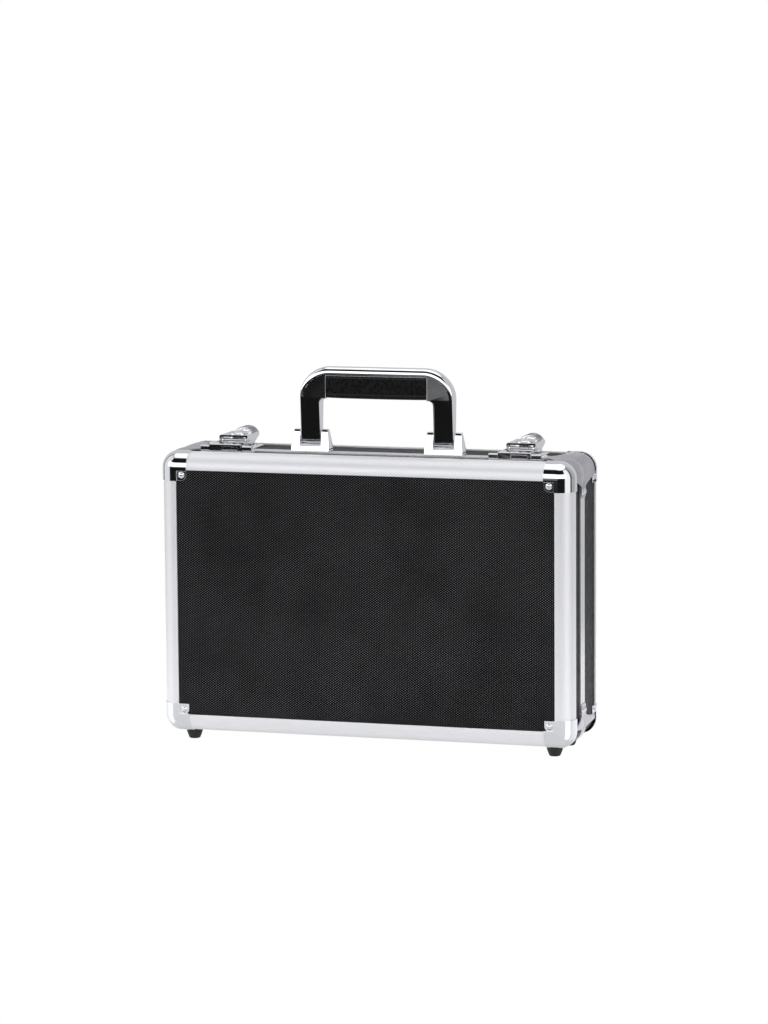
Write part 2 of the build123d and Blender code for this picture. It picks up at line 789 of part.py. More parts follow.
for name, side in (("left", -1), ("right", 1)):
    centre = side * latch_offset
    across = across_latch(centre)
    level = Plane(origin=(centre, parting, top), x_dir=(1, 0, 0), z_dir=(0, 0, 1))

    with BuildPart() as strike:
        with BuildSketch(level.offset(plate_face)):
            with Locations((0, -strike_front)):
                strike_length = strike_front - rim_width - strike_back
                Rectangle(strike_width, strike_length, align=(Align.CENTER, Align.MIN))
        extrude(amount=latch_sheet)
        fillet(strike.edges().filter_by(Axis.Z).group_by(Axis.Y)[-1], strike_round)
        with BuildSketch(level.offset(plate_face)):
            with Locations((0, -strike_front)):
                Rectangle(strike_width, latch_sheet, align=(Align.CENTER, Align.MIN))
        extrude(amount=strike_wall + flange_thickness)
        with BuildSketch(level.offset(strike_wall - latch_sheet)):
            with Locations((0, -strike_front)):
                Rectangle(strike_width, strike_lip, align=(Align.CENTER, Align.MIN))
        extrude(amount=latch_sheet)
        fillet(strike.edges().filter_by(Axis.X).group_by(Axis.Z)[-1].sort_by(Axis.Y)[0], strike_lip_round)
    save(strike, f"strike_{name}")

    with BuildPart() as latch_base:
        with BuildSketch(level.offset(plate_face)):
            with Locations((0, plate_start)):
                Rectangle(latch_plate_width, latch_plate_length, align=(Align.CENTER, Align.MIN))
        extrude(amount=latch_sheet)
        fillet(latch_base.edges().filter_by(Axis.Z).group_by(Axis.Y)[-1], latch_plate_round)
        with BuildSketch(across):
            with BuildLine():
                Polyline(
                    (plate_start, plate_face),
                    (rim_width + ear_foot, plate_face),
                    (rim_width + ear_foot, ear_heel),
                    (lever_pivot[0] + ear_radius, lever_pivot[1]),
                    (lever_pivot[0] - ear_radius, lever_pivot[1]),
                    (ear_toe[0], ear_toe_height),
                    ear_toe,
                    (plate_start, ear_toe[1]),
                    (plate_start, plate_face),
                )
            make_face()
            with Locations(lever_pivot):
                Circle(ear_radius)
        extrude(amount=ear_half, both=True)
        with BuildSketch(across):
            with Locations((0, plate_face + latch_sheet)):
                Rectangle(2 * latch_plate_length, lever_top, align=(Align.CENTER, Align.MIN))
        extrude(amount=ear_half - latch_sheet, both=True, mode=Mode.SUBTRACT)
        with BuildSketch(across):
            with Locations(lever_pivot):
                Circle(latch_pin / 2)
        extrude(amount=ear_half, both=True, mode=Mode.SUBTRACT)
    save(latch_base, f"latch_base_{name}")

    with BuildPart() as lever:
        with BuildSketch(across):
            with BuildLine():
                Polyline(
                    (-lever_nose, lever_top - lever_nose_drop),
                    (lever_nose_lean - lever_nose, lever_top),
                    (lever_length, lever_top),
                    (lever_length, lever_top - lever_tail_drop),
                    (claw_pivot[0] + ear_toe_height, lever_lift),
                    (claw_pivot[0] - claw_eye, lever_lift),
                    (lever_pivot[0] + ear_heel, lever_pivot[1] - ear_radius),
                    (lever_pivot[0] - ear_radius, lever_pivot[1] - ear_heel),
                    (-lever_nose, lever_top - lever_nose_drop),
                )
            make_face()
        extrude(amount=lever_half, both=True)
        with BuildSketch(across):
            with Locations((lever_length / 2, 0)):
                Rectangle(2 * lever_length, 2 * lever_floor)
        extrude(amount=ear_half + lever_ear_play, both=True, mode=Mode.SUBTRACT)
        fillet(lever.edges().filter_by(Axis.Y).group_by(Axis.Z)[-1], lever_edge_round)
        with BuildSketch(level.offset(lever_floor)):
            with Locations((0, lock_place)):
                Circle(lock_boss)
        extrude(amount=lock_top - lever_floor)
        with BuildSketch(level.offset(lock_boss_floor)):
            with Locations((0, lock_place)):
                Circle(lock_boss - lock_boss_step)
        extrude(amount=lever_floor - lock_boss_floor)
        # arched finger grip at the free end
        arch_place = (centre, parting + lever_length - finger_arch_overlap, top)
        with BuildSketch(Plane(origin=arch_place, x_dir=(-1, 0, 0), z_dir=(0, 1, 0))):
            with Locations((0, finger_arch_height)):
                Ellipse(*finger_arch)
                Ellipse(finger_arch[0] - lever_sheet, finger_arch[1] - lever_sheet, mode=Mode.SUBTRACT)
            with Locations((0, finger_arch_floor)):
                Rectangle(
                    4 * finger_arch[0],
                    3 * finger_arch[1],
                    align=(Align.CENTER, Align.MAX),
                    mode=Mode.SUBTRACT,
                )
        extrude(amount=finger_arch_length)
        with BuildSketch(across):
            with Locations(lever_pivot):
                Circle(latch_pin / 2 + running_play)
        extrude(amount=lever_half + 1, both=True, mode=Mode.SUBTRACT)
        with BuildSketch(across):
            with Locations(claw_pivot):
                Circle(latch_pin / 2)
        extrude(amount=lever_half + 1, both=True, mode=Mode.SUBTRACT)
        with BuildSketch(level):
            with Locations((0, lock_place)):
                Circle(lock_radius + running_play)
        extrude(amount=2 * lock_top, mode=Mode.SUBTRACT)
    save(lever, f"latch_lever_{name}")

    with BuildPart() as lock:
        with BuildSketch(level.offset(lock_bottom)):
            with Locations((0, lock_place)):
                Circle(lock_radius)
        extrude(amount=lock_top + lock_proud - lock_bottom)
        with BuildSketch(level.offset(lock_top + lock_proud)):
            with Locations((0, lock_place)):
                SlotOverall(*lock_slot)
        extrude(amount=-lock_slot_depth, mode=Mode.SUBTRACT)
    save(lock, f"lock_cylinder_{name}")

    with BuildPart() as claw:
        arm_inner = claw_half - latch_sheet
        with BuildSketch(across):
            with BuildLine():
                Polyline(
                    (claw_pivot[0], claw_pivot[1] - claw_eye),
                    (claw_pivot[0], claw_pivot[1] + claw_eye),
                    (claw_shoulder, claw_top),
                    (-claw_reach, claw_top),
                    (-claw_reach, claw_floor),
                    (lip_back, claw_floor),
                    (lip_back, claw_top - latch_sheet),
                    (-claw_bridge_start, claw_top - latch_sheet),
                    (0.0, claw_top - claw_arm_drop),
                    (claw_pivot[0], claw_pivot[1] - claw_eye),
                )
            make_face()
            with Locations(claw_pivot):
                Circle(claw_eye)
        extrude(amount=claw_half, both=True)
        with BuildSketch(across):
            with Locations((claw_pivot[0] / 2, claw_pivot[1])):
                Rectangle(claw_pivot[0] + claw_opening_back, claw_opening_height)
        extrude(amount=arm_inner, both=True, mode=Mode.SUBTRACT)
        fillet(claw.edges().filter_by(Axis.X).group_by(Axis.Z)[-1].sort_by(Axis.Y)[0], claw_edge_round)
        lip_plane = Plane(origin=(centre, parting - claw_reach, top), x_dir=(1, 0, 0), z_dir=(0, -1, 0))
        with BuildSketch(lip_plane):
            with Locations(claw_window_place):
                Rectangle(*claw_window)
        extrude(amount=2 * claw_lip, both=True, mode=Mode.SUBTRACT)
        with BuildSketch(across):
            with Locations(claw_pivot):
                Circle(latch_pin / 2 + running_play)
        extrude(amount=claw_half + 1, both=True, mode=Mode.SUBTRACT)
    save(claw, f"latch_claw_{name}")

    with BuildPart() as claw_pins:
        for way in (-1, 1):
            with BuildSketch(across_latch(centre + way * (ear_half + lever_ear_play))):
                with Locations(claw_pivot):
                    Circle(latch_pin / 2)
            extrude(amount=way * (claw_half - ear_half + slot_play))
    save(claw_pins, f"claw_pins_{name}")

with BuildPart() as lever_pins:
    for side in (-1, 1):
        with BuildSketch(across_latch(side * latch_offset)):
            with Locations(lever_pivot):
                Circle(latch_pin / 2)
        extrude(amount=lever_half + 2 * fit_play, both=True)
save(lever_pins, "lever_pins")
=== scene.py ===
"""Looks of an aluminium framed art supply box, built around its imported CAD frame.

Each sub-assembly is a class that holds its sizes, builds its own meshes and dresses them.
Lengths are metres. X runs to the right, Y from the lid to the base and Z up.
"""

import json
import logging
import math
from collections.abc import Iterable, Sequence
from dataclasses import dataclass, field
from enum import Enum

import bmesh
import bpy
from mathutils import Matrix, Vector

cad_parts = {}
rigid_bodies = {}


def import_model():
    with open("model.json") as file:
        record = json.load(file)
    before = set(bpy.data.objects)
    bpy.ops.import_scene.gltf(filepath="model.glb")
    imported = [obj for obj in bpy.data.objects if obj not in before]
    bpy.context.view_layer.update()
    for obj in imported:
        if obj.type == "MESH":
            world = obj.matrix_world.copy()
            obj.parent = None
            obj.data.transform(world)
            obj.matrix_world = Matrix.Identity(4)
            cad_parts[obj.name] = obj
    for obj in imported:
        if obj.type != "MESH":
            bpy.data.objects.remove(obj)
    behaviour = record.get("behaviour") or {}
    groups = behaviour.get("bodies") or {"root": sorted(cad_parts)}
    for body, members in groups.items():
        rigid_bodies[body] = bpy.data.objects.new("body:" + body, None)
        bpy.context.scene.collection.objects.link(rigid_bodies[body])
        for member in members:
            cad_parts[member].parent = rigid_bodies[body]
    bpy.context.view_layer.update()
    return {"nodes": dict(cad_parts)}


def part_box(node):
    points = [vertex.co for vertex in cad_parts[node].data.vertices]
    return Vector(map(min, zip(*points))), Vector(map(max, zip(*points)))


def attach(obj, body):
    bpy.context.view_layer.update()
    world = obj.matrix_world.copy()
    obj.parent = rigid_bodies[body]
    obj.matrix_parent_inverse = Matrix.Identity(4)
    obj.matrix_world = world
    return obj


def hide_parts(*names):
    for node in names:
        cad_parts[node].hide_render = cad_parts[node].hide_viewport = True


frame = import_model()

log = logging.getLogger("art_supply_box")

MM = 0.001
CREASE = 32.0
WELD = 0.002 * MM
CORE = 0.1 * MM
FLAT = math.radians(0.4)
STRAIGHT = math.radians(179)
WHITE = (1.0, 1.0, 1.0, 1.0)
Outline = list[tuple[float, float]]
Colour = tuple[float, float, float]
Place = tuple[Vector, Vector]


# ---------------------------------------------------------------- node trees
class NodeBoard:
    """Adds nodes to one node tree and joins them."""

    def __init__(self, tree: bpy.types.NodeTree) -> None:
        """Keep the tree that the nodes go in."""
        self.tree = tree

    def add(self, kind: str, inputs: dict | None = None, **settings: object) -> bpy.types.Node:
        """Add one node.

        Args:
            kind: The node's type name.
            inputs: For each socket name or number, an output socket to join or a plain value.
            settings: Properties of the node itself.

        Returns:
            The new node.
        """
        node = self.tree.nodes.new(kind)
        for name, value in settings.items():
            setattr(node, name, value)
        for key, value in (inputs or {}).items():
            if isinstance(value, bpy.types.NodeSocket):
                self.tree.links.new(value, node.inputs[key])
            else:
                node.inputs[key].default_value = value
        return node

    def maths(self, operation: str, *values: object) -> bpy.types.NodeSocket:
        """Return the result of one Math node on sockets or numbers."""
        return self.add("ShaderNodeMath", dict(enumerate(values)), operation=operation).outputs[0]

    def remap(self, value: bpy.types.NodeSocket, low: float, high: float, to_low: float,
              to_high: float, smooth: bool = False) -> bpy.types.NodeSocket:
        """Move a value from one range into another, clamped.

        Args:
            value: The value.
            low: Start of its range.
            high: End of its range.
            to_low: What the start becomes.
            to_high: What the end becomes.
            smooth: Whether both ends are eased.

        Returns:
            The moved value.
        """
        kind = "SMOOTHSTEP" if smooth else "LINEAR"
        spans = {"Value": value, "From Min": low, "From Max": high,
                 "To Min": to_low, "To Max": to_high}
        return self.add("ShaderNodeMapRange", spans, interpolation_type=kind).outputs["Result"]

    def blend(self, mask: bpy.types.NodeSocket, first: Colour, second: Colour
              ) -> bpy.types.NodeSocket:
        """Return the colour between first and second that the mask picks."""
        mix = self.add("ShaderNodeMix", {"Factor": mask}, data_type="RGBA")
        mix.inputs[6].default_value = (*first, 1.0)
        mix.inputs[7].default_value = (*second, 1.0)
        return mix.outputs[2]


class ShaderGroups:
    """The shader effects that several finishes share, each built once as a node group."""

    def __init__(self) -> None:
        """Build every shared group."""
        self.grain = self._grain()
        self.marks = self._marks()
        self.stipple = self._stipple()
        self.edges = self._edges()

    @staticmethod
    def _group(name: str, inputs: dict[str, float | None], outputs: Iterable[str]
               ) -> tuple[bpy.types.NodeTree, NodeBoard, bpy.types.Node, bpy.types.Node]:
        """Start a shader group.

        Args:
            name: The group's name.
            inputs: The default of each input, or None for a vector.
            outputs: The names of its number outputs.

        Returns:
            The group, its board, its input node and its output node.
        """
        tree = bpy.data.node_groups.new(name, "ShaderNodeTree")
        for key, default in inputs.items():
            kind = "NodeSocketVector" if default is None else "NodeSocketFloat"
            socket = tree.interface.new_socket(key, in_out="INPUT", socket_type=kind)
            if default is not None:
                socket.default_value = default
        for key in outputs:
            tree.interface.new_socket(key, in_out="OUTPUT", socket_type="NodeSocketFloat")
        board = NodeBoard(tree)
        return tree, board, board.add("NodeGroupInput"), board.add("NodeGroupOutput")

    def _grain(self) -> bpy.types.NodeTree:
        """Long fine lines, as drawing and brushing leave on metal; users stretch the vector."""
        tree, board, given, out = self._group(
            "drawn_grain", {"Vector": None, "Fineness": 900.0}, ("Height", "Tone"))
        fine = board.add("ShaderNodeTexNoise", {
            "Vector": given.outputs["Vector"], "Scale": given.outputs["Fineness"],
            "Detail": 4.0, "Roughness": 0.65})
        broad = board.add("ShaderNodeTexNoise", {
            "Vector": given.outputs["Vector"], "Detail": 2.0,
            "Scale": board.maths("MULTIPLY", given.outputs["Fineness"], 0.12)})
        tree.links.new(fine.outputs["Fac"], out.inputs["Height"])
        mixed = board.maths("MULTIPLY_ADD", broad.outputs["Fac"], 0.5,
                            board.maths("MULTIPLY", fine.outputs["Fac"], 0.5))
        tree.links.new(board.remap(mixed, 0.35, 0.65, 0.0, 1.0), out.inputs["Tone"])
        return tree

    def _marks(self) -> bpy.types.NodeTree:
        """Broad handling smudges and a few thin scratches."""
        tree, board, given, out = self._group(
            "handling_marks", {"Vector": None, "Smudge size": 0.03, "Scratch size": 0.012},
            ("Smudge", "Scratch"))
        smudge = board.add("ShaderNodeTexNoise", {
            "Vector": given.outputs["Vector"], "Detail": 3.0, "Roughness": 0.55,
            "Scale": board.maths("DIVIDE", 1.0, given.outputs["Smudge size"])})
        warped = board.add(
            "ShaderNodeTexNoise", {"Vector": given.outputs["Vector"], "Scale": 60.0})
        shifted = board.add("ShaderNodeVectorMath", {
            0: warped.outputs["Color"], 1: (0.01, 0.01, 0.01), 2: given.outputs["Vector"]},
            operation="MULTIPLY_ADD")
        cells = board.add("ShaderNodeTexVoronoi", {
            "Vector": shifted.outputs[0],
            "Scale": board.maths("DIVIDE", 1.0, given.outputs["Scratch size"])},
            feature="DISTANCE_TO_EDGE")
        line = board.remap(cells.outputs["Distance"], 0.0, 0.012, 1.0, 0.0)
        gate = board.remap(smudge.outputs["Fac"], 0.55, 0.68, 0.0, 1.0)
        broad = board.remap(smudge.outputs["Fac"], 0.35, 0.7, 0.0, 1.0)
        tree.links.new(broad, out.inputs["Smudge"])
        tree.links.new(board.maths("MULTIPLY", line, gate), out.inputs["Scratch"])
        return tree

    def _stipple(self) -> bpy.types.NodeTree:
        """Small rounded bumps, as in moulded plastic, rubber and short pile cloth."""
        tree, board, given, out = self._group(
            "stipple", {"Vector": None, "Pitch": 0.0006}, ("Height", "Mottle"))
        scale = board.maths("DIVIDE", 1.0, given.outputs["Pitch"])
        cells = board.add(
            "ShaderNodeTexVoronoi", {"Vector": given.outputs["Vector"], "Scale": scale},
            feature="SMOOTH_F1")
        cloud = board.add("ShaderNodeTexNoise", {
            "Vector": given.outputs["Vector"], "Scale": board.maths("MULTIPLY", scale, 0.14),
            "Detail": 4.0})
        height = board.remap(cells.outputs["Distance"], 0.1, 0.8, 1.0, 0.0)
        mottle = board.remap(cloud.outputs["Fac"], 0.35, 0.65, 0.0, 1.0)
        tree.links.new(height, out.inputs["Height"])
        tree.links.new(mottle, out.inputs["Mottle"])
        return tree

    def _edges(self) -> bpy.types.NodeTree:
        """Wear on outer edges, broken up by noise."""
        tree, board, given, out = self._group(
            "edge_wear", {"Vector": None, "Amount": 1.0}, ("Mask",))
        point = board.add("ShaderNodeNewGeometry").outputs["Pointiness"]
        noise = board.add("ShaderNodeTexNoise", {
            "Vector": given.outputs["Vector"], "Scale": 350.0, "Detail": 3.0})
        worn = board.maths("MULTIPLY", board.remap(point, 0.51, 0.6, 0.0, 1.0),
                           board.remap(noise.outputs["Fac"], 0.4, 0.6, 0.2, 1.0))
        tree.links.new(board.maths("MULTIPLY", worn, given.outputs["Amount"]), out.inputs["Mask"])
        return tree


class Draw(Enum):
    """The way in which a metal's drawn or brushed lines run."""

    ALONG_X = (0.012, 1.0, 1.0)
    ALONG_Z = (1.0, 1.0, 0.012)
    ROUND_CORNER = (1.0, 0.03, 1.0)
    NONE = (1.0, 1.0, 1.0)


@dataclass(frozen=True)
class MetalFinish:
    """A bare, plated or anodised metal.

    Attributes:
        name: The material's name.
        slot: The record's material slot that it stands for; not used.
        colour: Its main colour.
        worn: Its colour in the grain's low places and on smudges.
        metallic: How much of it reflects as metal.
        roughness: Roughness where clean.
        smudged: Roughness where handled.
        draw: The way in which its lines run.
        fineness: How fine the lines are, in noise cells a metre.
        grain_depth: Depth of the lines in metres.
    """

    name: str
    slot: str
    colour: Colour
    worn: Colour
    metallic: float
    roughness: float
    smudged: float
    draw: Draw = Draw.NONE
    fineness: float = 1400.0
    grain_depth: float = 0.000004

    def build(self, groups: ShaderGroups) -> bpy.types.Material:
        """Make the material.

        Args:
            groups: The shared shader groups.

        Returns:
            The finished material.
        """
        material, board, shader, place = start_material(self.name, self.metallic)
        stretched = board.add("ShaderNodeMapping", {"Vector": place, "Scale": self.draw.value})
        grain = board.add("ShaderNodeGroup", node_tree=groups.grain)
        grain.inputs["Fineness"].default_value = self.fineness
        marks = board.add("ShaderNodeGroup", node_tree=groups.marks)
        edges = board.add("ShaderNodeGroup", node_tree=groups.edges)
        edges.inputs["Amount"].default_value = 0.6
        for socket, node in ((stretched.outputs[0], grain), (place, marks), (place, edges)):
            board.tree.links.new(socket, node.inputs["Vector"])
        dull = board.maths("MAXIMUM", board.maths("MULTIPLY", marks.outputs["Smudge"], 0.6),
                           board.maths("MULTIPLY", grain.outputs["Tone"], 0.7))
        clean = board.maths("SUBTRACT", dull, edges.outputs["Mask"])
        colour = board.blend(board.remap(clean, 0.0, 1.0, 0.0, 1.0), self.colour, self.worn)
        rough = board.remap(
            board.maths("ADD", marks.outputs["Smudge"], marks.outputs["Scratch"]),
            0.0, 1.4, self.roughness, self.smudged)
        bump = board.add("ShaderNodeBump", {
            "Height": board.maths("SUBTRACT", grain.outputs["Height"], marks.outputs["Scratch"]),
            "Strength": 0.5, "Distance": self.grain_depth})
        join_shader(board, shader, colour, rough, bump)
        return material


@dataclass(frozen=True)
class SoftFinish:
    """A moulded plastic, a rubber, a laminate or a felt.

    Attributes:
        name: The material's name.
        slot: The record's material slot that it stands for; not used.
        colour: Its main colour.
        second: The colour that the mottle brings in.
        roughness: Roughness in the dark of the mottle.
        rough_high: Roughness in the light of the mottle.
        pitch: Spacing of the surface bumps.
        depth: Depth of the surface bumps.
        sheen: Soft glow of a cloth pile.
        gloss: How strongly it mirrors, 0.5 for common plastic.
    """

    name: str
    slot: str
    colour: Colour
    second: Colour
    roughness: float
    rough_high: float
    pitch: float
    depth: float
    sheen: float = 0.0
    gloss: float = 0.5

    def build(self, groups: ShaderGroups) -> bpy.types.Material:
        """Make the material.

        Args:
            groups: The shared shader groups.

        Returns:
            The finished material.
        """
        material, board, shader, place = start_material(self.name, 0.0)
        shader.inputs["Sheen Weight"].default_value = self.sheen
        shader.inputs["Specular IOR Level"].default_value = self.gloss
        stipple = board.add("ShaderNodeGroup", node_tree=groups.stipple)
        stipple.inputs["Pitch"].default_value = self.pitch
        edges = board.add("ShaderNodeGroup", node_tree=groups.edges)
        edges.inputs["Amount"].default_value = 0.5
        for node in (stipple, edges):
            board.tree.links.new(place, node.inputs["Vector"])
        mottle = board.maths("MAXIMUM", stipple.outputs["Mottle"], edges.outputs["Mask"])
        colour = board.blend(mottle, self.colour, self.second)
        rough = board.remap(stipple.outputs["Mottle"], 0.0, 1.0, self.roughness, self.rough_high)
        bump = board.add("ShaderNodeBump", {
            "Height": stipple.outputs["Height"], "Strength": 0.8, "Distance": self.depth})
        join_shader(board, shader, colour, rough, bump)
        return material


@dataclass(frozen=True)
class DiamondFinish:
    """A black sheet embossed with a lattice of small diamonds, with a highlight painted on their
    crests.

    Attributes:
        name: The material's name.
        slot: The record's material slot that it stands for; not used.
        ground: Colour between the diamonds.
        crest: Colour on the diamonds, a painted highlight on their crests.
        across: Pitch of the lattice in X.
        upward: Pitch of the lattice in Z.
        depth: Height of a diamond.
    """

    name: str
    slot: str
    ground: Colour
    crest: Colour
    across: float
    upward: float
    depth: float

    def build(self, groups: ShaderGroups) -> bpy.types.Material:
        """Make the material.

        Args:
            groups: The shared shader groups.

        Returns:
            The finished material.
        """
        material, board, shader, place = start_material(self.name, 0.0)
        shader.inputs["Specular IOR Level"].default_value = 0.06
        axes = board.add("ShaderNodeSeparateXYZ", {0: place})
        waves = [
            board.maths("COSINE", board.maths("MULTIPLY", axes.outputs[axis], 2 * math.pi / pitch))
            for axis, pitch in (("X", self.across), ("Z", self.upward))]
        lattice = board.maths("MULTIPLY", *waves)
        crest = board.remap(lattice, 0.32, 0.8, 0.0, 1.0, smooth=True)
        marks = board.add("ShaderNodeGroup", node_tree=groups.marks)
        marks.inputs["Smudge size"].default_value = 0.06
        board.tree.links.new(place, marks.inputs["Vector"])
        clean = board.remap(marks.outputs["Smudge"], 0.0, 1.0, 1.0, 0.6)
        # The crests take the lighter crest colour: a painted highlight, dimmed where smudged.
        lit = board.maths("MULTIPLY", crest, clean)
        colour = board.blend(lit, self.ground, self.crest)
        rough = board.remap(crest, 0.0, 1.0, 0.6, 0.42)
        bump = board.add(
            "ShaderNodeBump", {"Height": crest, "Strength": 0.7, "Distance": self.depth})
        join_shader(board, shader, colour, rough, bump)
        return material


def start_material(name: str, metallic: float
                   ) -> tuple[bpy.types.Material, NodeBoard, bpy.types.Node, bpy.types.NodeSocket]:
    """Start a material with one shader and the piece's own coordinates.

    Args:
        name: The material's name.
        metallic: Its plain metallic value.

    Returns:
        The material, its board, its shader and the coordinate socket.
    """
    material = bpy.data.materials.new(name)
    material.use_nodes = True
    material.node_tree.nodes.clear()
    board = NodeBoard(material.node_tree)
    shader = board.add("ShaderNodeBsdfPrincipled", {"Metallic": metallic})
    board.add("ShaderNodeOutputMaterial", {"Surface": shader.outputs[0]})
    return material, board, shader, board.add("ShaderNodeTexCoord").outputs["Object"]


def join_shader(board: NodeBoard, shader: bpy.types.Node, colour: bpy.types.NodeSocket,
                rough: bpy.types.NodeSocket, bump: bpy.types.Node) -> None:
    """Feed the colour, roughness and bump to the shader."""
    for socket, name in (
            (colour, "Base Color"), (rough, "Roughness"), (bump.outputs[0], "Normal")):
        board.tree.links.new(socket, shader.inputs[name])


class Finish(Enum):
    """Every finish on the box."""

    # The panel's second colour is a painted highlight on the diamonds' crests.
    PANEL = DiamondFinish("embossed_black_sheet", "black_panel", (0.0008, 0.0008, 0.001),
                          (0.19, 0.19, 0.2), 0.0027, 0.0019, 0.00014)
    BOARD = SoftFinish("black_board_laminate", "black_board", (0.009, 0.009, 0.0105),
                       (0.014, 0.014, 0.016), 0.4, 0.52, 0.0009, 0.00002, gloss=0.14)
    EDGE_ACROSS = MetalFinish("anodised_edge_across", "edge_aluminium", (0.93, 0.93, 0.95),
                              (0.88, 0.88, 0.91), 0.5, 0.46, 0.52, Draw.ALONG_X, 900.0)
    EDGE_UPRIGHT = MetalFinish("anodised_edge_upright", "edge_aluminium", (0.93, 0.93, 0.95),
                               (0.88, 0.88, 0.91), 0.5, 0.42, 0.48, Draw.ALONG_Z, 900.0)
    RIM = MetalFinish("anodised_rim", "rim_aluminium", (0.82, 0.82, 0.85), (0.7, 0.7, 0.74),
                      0.75, 0.26, 0.36, Draw.ROUND_CORNER, 900.0)
    CHROME = MetalFinish("bright_chrome", "chrome", (0.9, 0.91, 0.93), (0.82, 0.83, 0.86),
                         1.0, 0.05, 0.11)
    COVER = MetalFinish("brushed_cover_metal", "brushed_cover", (0.6, 0.6, 0.64),
                        (0.3, 0.3, 0.34), 1.0, 0.2, 0.34, Draw.ROUND_CORNER, 1700.0, 0.000008)
    LATCH = MetalFinish("latch_chrome", "latch_chrome", (0.88, 0.88, 0.9), (0.76, 0.76, 0.8),
                        1.0, 0.08, 0.16)
    # A darker copy of the latch chrome for the finger ribs: painted shade for the dark lines
    # between the ribs.
    SHADED_RIB = MetalFinish("finger_rib_painted_shade", "latch_chrome", (0.4, 0.4, 0.42), (0.22, 0.22, 0.24),
                      1.0, 0.2, 0.32)
    RIVET = MetalFinish("rivet_nickel", "rivet", (0.85, 0.85, 0.87), (0.7, 0.7, 0.73),
                        1.0, 0.1, 0.2)
    HINGE = MetalFinish("hinge_steel", "hinge_steel", (0.72, 0.72, 0.74), (0.58, 0.58, 0.61),
                        1.0, 0.2, 0.34, Draw.ALONG_X, 1200.0)
    PIN = MetalFinish("pin_steel", "pin_steel", (0.7, 0.7, 0.72), (0.55, 0.55, 0.58),
                      1.0, 0.16, 0.3)
    LOCK = MetalFinish("lock_cylinder_metal", "lock_brass", (0.86, 0.85, 0.84), (0.7, 0.69, 0.68),
                       1.0, 0.12, 0.22)
    FOOT = SoftFinish("foot_rubber", "foot_rubber", (0.006, 0.006, 0.006), (0.014, 0.014, 0.014),
                      0.45, 0.7, 0.0007, 0.00004)
    GRIP = SoftFinish("grip_plastic", "grip_plastic", (0.003, 0.003, 0.0035), (0.008, 0.008, 0.009),
                      0.24, 0.36, 0.0004, 0.000015, gloss=0.3)
    LINING = SoftFinish("felt_lining", "lining", (0.018, 0.018, 0.021), (0.04, 0.04, 0.045),
                        0.85, 0.98, 0.0005, 0.00016, sheen=0.35)


class Dresser:
    """Holds the built materials and turns meshes into pieces on their bodies."""

    def __init__(self) -> None:
        """Build every material."""
        groups = ShaderGroups()
        self.materials = {finish: finish.value.build(groups) for finish in Finish}

    def paint_node(self, node: str, finish: Finish) -> None:
        """Give a CAD node that stays its finish."""
        mesh = frame["nodes"][node].data
        mesh.materials.clear()
        mesh.materials.append(self.materials[finish])
        log.info("node %s wears %s", node, finish.value.name)

    def piece(self, name: str, mesh: bpy.types.Mesh, finish: Finish, body: str,
              replaced: Sequence[str] = ()) -> bpy.types.Object:
        """Make a mesh a piece of the box.

        Args:
            name: The piece's name.
            mesh: Its mesh, already in place.
            finish: Its finish.
            body: The body that it rides on.
            replaced: The CAD nodes that it stands for.

        Returns:
            The new piece.
        """
        mesh.name = name
        mesh.materials.clear()
        mesh.materials.append(self.materials[finish])
        made = bpy.data.objects.new(name, mesh)
        bpy.context.scene.collection.objects.link(made)
        if replaced:
            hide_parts(*replaced)
        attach(made, body)
        log.info("piece %s on %s: %d faces", name, body, len(mesh.polygons))
        return made

    def refine(self, node: str, made: str, bevel: float, finish: Finish, body: str,
               crease: float = CREASE) -> None:
        """Replace a CAD node by a copy with rounded edges.

        Args:
            node: The CAD node.
            made: How its piece is made, which ends the piece's name.
            bevel: Width of the edge rounding.
            finish: Its finish.
            body: The body that it rides on.
            crease: Edges sharper than this many degrees are rounded.
        """
        self.piece(f"{node}_{made}", refined(node, bevel, crease), finish, body, [node])


# ---------------------------------------------------------------- mesh making
def arc(centre: tuple[float, float], radius: float, start: float, sweep: float, steps: int
        ) -> Outline:
    """Return points along an arc, its angles in degrees and both ends in."""
    angles = (math.radians(start + sweep * i / steps) for i in range(steps + 1))
    return [(centre[0] + radius * math.cos(a), centre[1] + radius * math.sin(a)) for a in angles]


def eased(share: float) -> float:
    """Return a share from 0 to 1 with both ends eased."""
    return share * share * (3 - 2 * share)


def rounded(corners: Sequence[tuple[float, float, float]], steps: int = 5) -> Outline:
    """Round the corners of an outline.

    Args:
        corners: For each corner its two coordinates and its radius.
        steps: Straight runs in each rounding.

    Returns:
        The outline's points.
    """
    points: Outline = []
    for i, (x, y, radius) in enumerate(corners):
        here = Vector((x, y))
        back = (Vector(corners[i - 1][:2]) - here).normalized()
        ahead = (Vector(corners[(i + 1) % len(corners)][:2]) - here).normalized()
        opening = back.angle(ahead)
        if radius <= 0 or opening > STRAIGHT:
            points.append((x, y))
            continue
        reach = radius / math.tan(opening / 2)
        centre = here + (back + ahead).normalized() * (radius / math.sin(opening / 2))
        first, last = here + back * reach - centre, here + ahead * reach - centre
        turn = first.angle_signed(last)
        for step in range(steps + 1):
            spot = centre + Matrix.Rotation(-turn * step / steps, 2) @ first
            points.append((spot.x, spot.y))
    return points


def inset_outline(outline: Outline, distance: float) -> Outline:
    """Move a counter-clockwise outline inward.

    Args:
        outline: The outline's points.
        distance: How far each side moves.

    Returns:
        The moved points.
    """
    sharpest = 0.3
    moved = []
    for i, here in enumerate(outline):
        sides = []
        for a, b in ((outline[i - 1], here), (here, outline[(i + 1) % len(outline)])):
            along = Vector((b[0] - a[0], b[1] - a[1])).normalized()
            sides.append(Vector((-along.y, along.x)))
        share = max(sharpest, 1 + sides[0].dot(sides[1]))
        shift = (sides[0] + sides[1]) * (distance / share)
        moved.append((here[0] + shift.x, here[1] + shift.y))
    return moved


